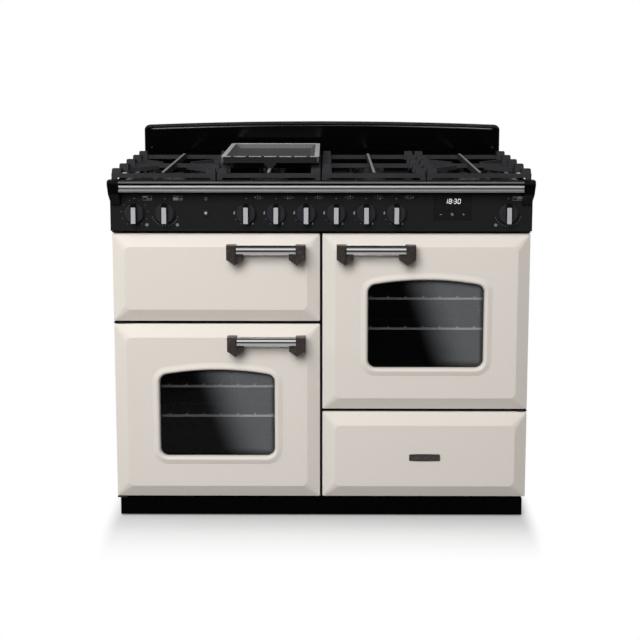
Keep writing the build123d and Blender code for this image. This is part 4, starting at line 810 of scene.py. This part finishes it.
class COOKER_OT_window_trim(bpy.types.Operator):
    """Soft raised enamel edge round each oven window"""
    bl_idname = "cooker.window_trim"
    bl_label = "Window trim"
    overhang = 0.0005  # into the window
    reach = 0.0135  # back to the pane
    crest = 0.007  # from the window's outline to the highest line
    depth = 0.0085  # where the ellipse starts, behind the door's face
    sunk = 0.002  # outer edge, behind the door's face

    def execute(self, context):
        """A rolled edge carried round the window's outline.

        A quarter ellipse from inside the window up to the crest, then h cos^2(pi t / 2) down to the
        door, for t from 0 to 1.
        """
        crest, depth = self.crest, self.depth
        quarter = np.linspace(0.0, np.pi / 2, 9)
        inside = np.column_stack([
            crest - (crest + self.overhang) * np.cos(quarter),
            (depth + sizes().trim_height) * np.sin(quarter) - depth])
        fall = np.linspace(0.0, 1.0, 11)[1:]
        outside = np.column_stack([
            crest + (sizes().trim_width - crest) * fall, sizes().trim_height * np.cos(np.pi / 2 * fall) ** 2])
        profile = np.concatenate([
            [(-self.overhang, -self.reach)], inside, outside, [(sizes().trim_width, -self.sunk)]])
        forward = np.array([0.0, -1.0, 0.0])
        enamel = bpy.data.materials["cream_enamel_finish"]
        for door in OVEN_DOORS:
            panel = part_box(f"{door}_panel")
            path, outward = window_path(mid(panel, 0), panel[0][2], FACE_Y)
            spread = profile[None, :, :1] * outward[:, None, :] + profile[None, :, 1:] * forward
            rows = path[:, None, :] + spread
            surface(f"{door}_window_trim", [looped(rows)], door, enamel)
        return {"FINISHED"}


class COOKER_OT_rail(bpy.types.Operator):
    """Bright front rail of two round beads, and a third, darker bead on the deck's lip over it, as a painted
    highlight on the black lip
    """
    bl_idname = "cooker.rail"
    bl_label = "Front rail"
    bead_depth = 0.0045
    lip_bead = (0.0040, 0.0095)  # lower and upper edge of the third bead, over the rail
    lip_proud = 0.0012
    lower_drop = 0.0022  # the lower bead hangs over the fascia's top

    def bead(self, low, high, front, depth):
        """Bead from top to bottom: y = front + depth (1 - sqrt(1 - t^2)), t from 1 to -1 over its height."""
        across = np.sin(np.linspace(0.49 * np.pi, -0.49 * np.pi, 15))
        y = front + depth * (1.0 - np.sqrt(1.0 - across ** 2))
        return np.column_stack([y, (low + high) / 2 + (high - low) / 2 * across])

    def execute(self, context):
        low, high = RAIL_BOX
        upper = self.bead(RAIL_SPLIT, high[2], low[1], self.bead_depth)
        bottom = low[2] - self.lower_drop
        lower = self.bead(bottom, RAIL_SPLIT - RAIL_GROOVE, low[1], self.bead_depth)
        profile = np.concatenate([[(high[1], bottom), (high[1], high[2])], upper, lower])
        steel = bpy.data.materials["rail_steel_finish"]
        shell = straight(profile, low[0], high[0])
        rail = surface("rail_bar", [shell], "carcass", steel, smooth=False)
        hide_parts("front_rail")
        # third bead: a grey strip that stands for a painted highlight on the deck's black lip
        front = low[1] - self.lip_proud
        third = self.bead(high[2] + self.lip_bead[0], high[2] + self.lip_bead[1], front, 2 * self.lip_proud)
        surface("lip_bead", [straight(third, low[0], high[0])], "carcass", steel, smooth=False)
        return {"FINISHED"}


class COOKER_OT_deck_edges(bpy.types.Operator):
    """Raised, rolled edge along each side of the hob deck, between the feet of the outer pan supports"""
    bl_idname = "cooker.deck_edges"
    bl_label = "Deck edges"
    rise = 0.008
    width = 0.009
    foot_room = 0.024
    sunk = 0.0008  # below the supports' feet

    def execute(self, context):
        """Half an ellipse, x = w / 2 cos t and z = h sin t for t from 0 to pi, carried along Y."""
        low, high = SUPPORT_BOX
        turn = np.linspace(0.0, np.pi, 15)
        y = np.array([low[1] + self.foot_room, high[1] - self.foot_room])
        across = self.width / 2 * np.cos(turn)
        up = low[2] - self.sunk + self.rise * np.sin(turn)
        shells = []
        for side in (-1, 1):
            x = side * (abs(low[0]) - self.width / 2) + across
            rows = np.stack([np.column_stack([x, np.full(len(x), place), up]) for place in y])
            shells.append(swept(rows))
        enamel = bpy.data.materials["black_enamel_finish"]
        surface("deck_side_edges", shells, "carcass", enamel)
        return {"FINISHED"}


class COOKER_OT_backguard_trim(bpy.types.Operator):
    """Pressed bead under the backguard's rolled top, and its two fixing screws"""
    bl_idname = "cooker.backguard_trim"
    bl_label = "Backguard trim"
    crown_rise = 0.011  # the arched top over its ends
    bead_drop = 0.0125
    bead_height = 0.0016
    bead_sunk = 0.0004
    end_inset = 0.020
    end_taper = 0.012
    end_share = 0.1  # of the bead's size that is left at its ends
    screw_inset = 0.0225
    screw_rise = 0.0435
    screw_size = (0.0042, 0.0016)  # radius and height

    def execute(self, context):
        """The bead is h cos(pi t) for t from -1/2 to 1/2, carried along an arch z = top - c (x / w)^2."""
        low, high = GUARD_BOX
        face = low[1]
        half = high[0]
        x = np.linspace(-half + self.end_inset, half - self.end_inset, 81)
        z = high[2] - self.bead_drop - self.crown_rise * (x / half) ** 2
        wave = np.linspace(-0.5, 0.5, 9)
        depth = face + self.bead_sunk - (self.bead_height + self.bead_sunk) * np.cos(np.pi * wave)
        inwards = np.minimum(1.0, (half - self.end_inset - np.abs(x)) / self.end_taper)
        taper = inwards * (1.0 - self.end_share) + self.end_share
        rows = np.stack([
            np.broadcast_to(x[:, None], (len(x), len(wave))),
            face + (depth[None, :] - face) * taper[:, None],
            z[:, None] + sizes().bead_width * wave[None, :] * taper[:, None],
        ], axis=-1)
        # its enamel carries a painted highlight, paler towards both ends
        surface("backguard_bead", [swept(rows)], "carcass", bead_enamel())
        places = [(side * (half - self.screw_inset), low[2] + self.screw_rise) for side in (-1, 1)]
        screws = [dome(place, *self.screw_size, face) for place in places]
        black = gloss_black("screw_black", (0.004, 0.004, 0.005), 0.30)
        surface("backguard_screws", screws, "carcass", black)
        return {"FINISHED"}


class COOKER_OT_fascia_prints(bpy.types.Operator):
    """Dots, flames and layout signs printed round the knobs"""
    bl_idname = "cooker.fascia_prints"
    bl_label = "Fascia prints"
    layer = InkLayer(FACE_Y)
    pointer_rise, pointer_radius = 0.0375, 0.0015
    flames = [((-0.0310, -0.001), 0.0058), ((0.0165, -0.0290), 0.0040)]  # place from the knob, and size
    dot_turns, dot_reach, dot_radius, dot_count = (213.0, 243.0, 271.0), 0.0315, 0.0009, 12
    burners_place, burners_scale = (0.0330, 0.0405), 0.00104
    burners = [(-9.0, 0.0), (-3.0, -2.6), (-3.0, 2.6), (3.0, 2.6), (3.0, -2.6), (9.0, 0.0)]
    burner_filled, burner_ring, burner_count = 0.0021, (0.0011, 0.0017), 14
    grill_scale, oven_scale = (69.0, -249.0, 11), (-18.0, -160.0, 13)  # first and last angle, and marks
    mark_reach, mark_size = 0.0345, 0.0016
    layout_aside = (0.0335, 0.0235)  # beside a knob of the left half, and of the right half
    layout_rise = 0.0385
    cell_half, cell_tall, cell_short = 0.0123, 0.0078, 0.0042
    cell_gap, cell_line = 0.0006, 0.0007
    bulb_rise, bulb_ring = 0.038, (0.0024, 0.0031)
    base_drop, base_size = 0.0046, (0.0026, 0.0018)

    def hob_signs(self, number, x, z):
        """Flames, dots and the six burner places round a hob knob, with the knob's own burner filled."""
        signs = [self.layer.disc((x, z + self.pointer_rise), self.pointer_radius)]
        for (across, up), size in self.flames:
            signs.append(self.layer.flat(flame_outline((x + across, z + up), size)))
        for turn in self.dot_turns:
            signs.append(self.layer.disc(around(x, z, self.dot_reach, turn), self.dot_radius, self.dot_count))
        aside, rise = self.burners_place
        for place, (across, up) in enumerate(self.burners):
            spot = (x + aside + self.burners_scale * across, z + rise + self.burners_scale * up)
            if place == number:
                signs.append(self.layer.disc(spot, self.burner_filled, self.burner_count))
            else:
                signs.append(self.layer.hoop(spot, *self.burner_ring, self.burner_count))
        return signs

    def oven_signs(self, number, x, z):
        """Scale marks round an oven knob, and a small front view with the knob's own compartment filled."""
        signs = [self.layer.disc((x, z + self.pointer_rise), self.pointer_radius)]
        for turn in np.linspace(*(self.grill_scale if number == 0 else self.oven_scale)):
            signs.append(self.layer.bar(around(x, z, self.mark_reach, turn), self.mark_size, self.mark_size))
        left_aside, right_aside = self.layout_aside
        sign_x, sign_z = x + (left_aside if x < 0 else right_aside), z + self.layout_rise
        half, tall, short = self.cell_half, self.cell_tall, self.cell_short
        cells = [
            (sign_x - half / 2, sign_z + tall / 2, short), (sign_x - half / 2, sign_z - short / 2, tall),
            (sign_x + half / 2, sign_z + short / 2, tall), (sign_x + half / 2, sign_z - tall / 2, short),
        ]
        for cell, (cell_x, cell_z, height) in enumerate(cells):
            place, size = (cell_x, cell_z), (half - self.cell_gap, height - self.cell_gap)
            if cell == number:
                signs.append(self.layer.bar(place, *size))
            else:
                signs.append(box_frame(place, *size, self.cell_line, self.layer.front, self.layer.back))
        return signs

    def execute(self, context):
        shells = []
        for number, knob in enumerate(HOB_KNOBS):
            x, _, z = JOINTS[f"{knob}_turn"]["pos_m"]
            shells += self.hob_signs(number, x, z)
        for number, knob in enumerate(OVEN_KNOBS):
            x, _, z = JOINTS[f"{knob}_turn"]["pos_m"]
            shells += self.oven_signs(number, x, z)
        bulb = (mid(BUTTON_BOX, 0), mid(BUTTON_BOX, 2) + self.bulb_rise)
        shells.append(self.layer.hoop(bulb, *self.bulb_ring))
        shells.append(self.layer.bar((bulb[0], bulb[1] - self.base_drop), *self.base_size))
        print_ink = ink("fascia_ink", tuple(colours().ink))
        surface("fascia_prints", shells, "carcass", print_ink, smooth=False)
        return {"FINISHED"}


class COOKER_OT_clock(bpy.types.Operator):
    """Lit clock digits and the three touch signs"""
    bl_idname = "cooker.clock"
    bl_label = "Clock"
    layer = InkLayer(CLOCK_BOX[0][1])
    strokes = {"1": "bc", "8": "abcdefg", "3": "abcdg", "0": "abcdef"}
    middles = {"a": (0.0, 0.5), "g": (0.0, 0.0), "d": (0.0, -0.5), "f": (-0.5, 0.25),
               "b": (0.5, 0.25), "e": (-0.5, -0.25), "c": (0.5, -0.25)}
    lean = 0.10
    digit_drop, digit_size = 0.0155, (0.0062, 0.0115)
    digits = [("1", -0.0165), ("8", -0.0060), ("3", 0.0070), ("0", 0.0172)]  # figure, and place across
    stroke_share, flat_cut, upright_share = 0.17, 1.3, 0.42
    colon_aside, colon_half, colon_radius, colon_count = 0.0008, 0.0024, 0.0008, 10
    glow_strength = 1.1
    sign_rise, sign_places = 0.0145, (-0.030, -0.0006, 0.029)
    bar_length, bar_line = 0.0052, 0.0008
    dial_ring, hand_rise, hand_size = (0.0022, 0.0029), 0.0008, (0.0006, 0.0018)

    def digit(self, figure, x, z):
        """Seven strokes; each is a bar that leans with the digit."""
        width, height = self.digit_size
        thick = width * self.stroke_share
        upright = height * self.upright_share
        tilt = self.lean * upright
        shells = []
        for stroke in self.strokes[figure]:
            u, v = self.middles[stroke]
            centre = (x + u * width + v * height * self.lean, z + v * height)
            if stroke in "agd":
                shells.append(self.layer.bar(centre, width - thick * self.flat_cut, thick))
            else:
                shells.append(self.layer.bar((centre[0] - tilt / 2, centre[1]), thick, upright, tilt))
        return shells

    def execute(self, context):
        low, high = CLOCK_BOX
        middle = mid(CLOCK_BOX, 0)
        row = high[2] - self.digit_drop
        digits = []
        for figure, place in self.digits:
            digits += self.digit(figure, middle + place, row)
        for rise in (self.colon_half, -self.colon_half):
            spot = (middle + self.colon_aside + rise * self.lean, row + rise)
            digits.append(self.layer.disc(spot, self.colon_radius, self.colon_count))
        glow = lit("clock_light", tuple(colours().digits), self.glow_strength)
        surface("clock_digits", digits, "carcass", glow, smooth=False)
        line = low[2] + self.sign_rise
        minus, dial, plus = [(middle + place, line) for place in self.sign_places]
        over = self.layer.front - INK_T
        signs = [
            self.layer.bar(minus, self.bar_length, self.bar_line),
            self.layer.bar(plus, self.bar_length, self.bar_line),
            prism(box_outline(plus, self.bar_line, self.bar_length), over, self.layer.front),
            self.layer.hoop(dial, *self.dial_ring),
            self.layer.bar((dial[0], line + self.hand_rise), *self.hand_size),
        ]
        sign_ink = ink("clock_ink", (0.50, 0.51, 0.53))
        surface("clock_signs", signs, "carcass", sign_ink, smooth=False)
        return {"FINISHED"}


class COOKER_OT_stage(bpy.types.Operator):
    """White floor and surroundings, a soft key light with two weak lamps, and the camera"""
    bl_idname = "cooker.stage"
    bl_label = "Stage"
    floor_half = 8.0
    footprint = (0.53, 0.285, 0.015)  # half width, half depth, and the middle's Y
    shadow_reach, side_squeeze = (-0.04, 0.29), 36.0
    shadow_white = 0.05  # share of plain white right under the object
    grey_reach = (1.05, 1.7)  # from the origin, where the mirrored floor turns from grey to dark
    middle = (0.0, -0.3, 0.5)
    lamps = [  # name, place, aim, size, power in watts, and whether metal and glass mirror it
        ("key", (-1.20, -4.50, 3.55), middle, (3.2, 3.2), 318.0, False),
        ("side", (-2.20, -0.45, 1.45), (-0.5, -0.3, 0.7), (0.6, 0.6), 9.0, False),
        ("top", (0.0, -0.2, 3.2), middle, (2.4, 0.12), 14.0, True),
    ]

    def lamp(self, name, place, aim, size, power, mirrored):
        light = bpy.data.lights.new(name, "AREA")
        light.shape = "RECTANGLE"
        light.size, light.size_y = size
        light.energy = power
        lamp = linked(name, light)
        lamp.visible_glossy = mirrored
        lamp.location = place
        lamp.rotation_euler = (Vector(aim) - Vector(place)).to_track_quat("-Z", "Y").to_euler()

    def floor(self):
        """White floor that keeps the object's soft shadow close to its footprint.

        It bounces little light, and in mirrors it is grey near the object and dark farther off.
        """
        paint = Paint("stage_floor")
        x, y, _ = paint.axes()
        camera, mirrored = paint.rays()
        seen = camera.most(mirrored)
        half_width, half_depth, middle_y = self.footprint
        beside = (abs(x) - half_width).most(0.0)
        before = (abs(y - middle_y) - half_depth).most(0.0)
        away = (beside * beside * self.side_squeeze + before * before).root().step(*self.shadow_reach)
        paint.set(
            Base_Color=paint.mix(seen, (0.15, 0.15, 0.15), (0.66, 0.66, 0.66)),
            Roughness=0.9,
            Specular_IOR_Level=0.0)
        reach = (x * x + y * y).root()
        dim = paint.mix(reach.step(*self.grey_reach), (0.52, 0.52, 0.52), (0.07, 0.07, 0.07))
        tone = paint.mix(camera, dim, (1.0, 1.0, 1.0))
        white = paint.node("ShaderNodeEmission", None, {"Color": tone, "Strength": 1.0})
        plain = Val(paint, paint.shader.outputs[0])
        share = seen * (self.shadow_white + away * (1.0 - self.shadow_white))
        both = paint.node("ShaderNodeMixShader", None, {0: share, 1: plain, 2: white})
        paint.plug(paint.tree.nodes["Material Output"], "Surface", both)
        size = self.floor_half
        mesh = bpy.data.meshes.new("stage_floor")
        corners = [(-size, -size, 0), (size, -size, 0), (size, size, 0), (-size, size, 0)]
        mesh.from_pydata(corners, [], [(0, 1, 2, 3)])
        mesh.materials.append(paint.material)
        linked("stage_floor", mesh)

    def studio(self):
        """White to the camera; in mirrors a low backdrop behind the object and a pale wall in front."""
        world = bpy.data.worlds.new("studio")
        bpy.context.scene.world = world
        world.use_nodes = True
        tree = Tree(world.node_tree)
        _, y, z = tree.split(tree.node("ShaderNodeTexCoord", out="Generated"))
        camera, mirrored = tree.rays()
        base, backdrop_light, wall_light, zenith_light, unmirrored = 0.03, 0.40, 0.90, 0.08, 0.14
        behind, before = (0.0, 0.2), (-0.2, 0.0)  # along Y of a direction; the rest along its Z
        backdrop_top, zenith_foot = (0.06, 0.20), (0.80, 0.95)
        wall_foot, wall_top = (0.16, 0.28), (0.76, 0.88)
        backdrop = y.step(*behind) * (1.0 - z.step(*backdrop_top))
        wall = (1.0 - y.step(*before)) * z.step(*wall_foot) * (1.0 - z.step(*wall_top))
        zenith = z.step(*zenith_foot)
        reflected = base + backdrop * backdrop_light + wall * wall_light + zenith * zenith_light
        level = camera + (1.0 - camera) * (mirrored * reflected + (1.0 - mirrored) * unmirrored)
        background = world.node_tree.nodes["Background"]
        tree.plug(background, "Color", (1.0, 1.0, 1.0, 1.0))
        tree.plug(background, "Strength", level)

    def camera(self):
        data = bpy.data.cameras.new("photo_camera")
        data.lens = sizes().focal
        data.sensor_width = 36.0
        data.shift_y = sizes().camera_shift
        camera = linked("photo_camera", data)
        camera.location = (sizes().camera_side, -sizes().camera_distance, sizes().camera_height)
        camera.rotation_euler = (math.radians(90.0) - sizes().camera_tilt, 0.0, sizes().camera_turn)
        bpy.context.scene.camera = camera

    def execute(self, context):
        context.scene.view_settings.view_transform = "Standard"
        self.floor()
        self.studio()
        for lamp in self.lamps:
            self.lamp(*lamp)
        self.camera()
        return {"FINISHED"}


class COOKER_PT_panel(bpy.types.Panel):
    """Cooker tools in the sidebar"""
    bl_idname = "COOKER_PT_panel"
    bl_label = "Cooker"
    bl_space_type = "VIEW_3D"
    bl_region_type = "UI"
    bl_category = "Cooker"

    def draw(self, context):
        for step in STEPS:
            self.layout.operator(step.bl_idname)
        for group in (context.scene.cooker_colours, context.scene.cooker_sizes):
            for key in group.__annotations__:
                self.layout.prop(group, key)


STEPS = (
    COOKER_OT_finishes,
    COOKER_OT_window_trim,
    COOKER_OT_rail,
    COOKER_OT_deck_edges,
    COOKER_OT_backguard_trim,
    COOKER_OT_fascia_prints,
    COOKER_OT_clock,
    COOKER_OT_stage,
)
CLASSES = (CookerColours, CookerSizes, *STEPS, COOKER_PT_panel)


def register():
    for item in CLASSES:
        bpy.utils.register_class(item)
    bpy.types.Scene.cooker_colours = bpy.props.PointerProperty(type=CookerColours)
    bpy.types.Scene.cooker_sizes = bpy.props.PointerProperty(type=CookerSizes)


def unregister():
    del bpy.types.Scene.cooker_sizes
    del bpy.types.Scene.cooker_colours
    for item in reversed(CLASSES):
        bpy.utils.unregister_class(item)


def main():
    register()
    bpy.ops.cooker.finishes()
    bpy.ops.cooker.window_trim()
    bpy.ops.cooker.rail()
    bpy.ops.cooker.deck_edges()
    bpy.ops.cooker.backguard_trim()
    bpy.ops.cooker.fascia_prints()
    bpy.ops.cooker.clock()
    bpy.ops.cooker.stage()


if __name__ == "__main__":
    main()
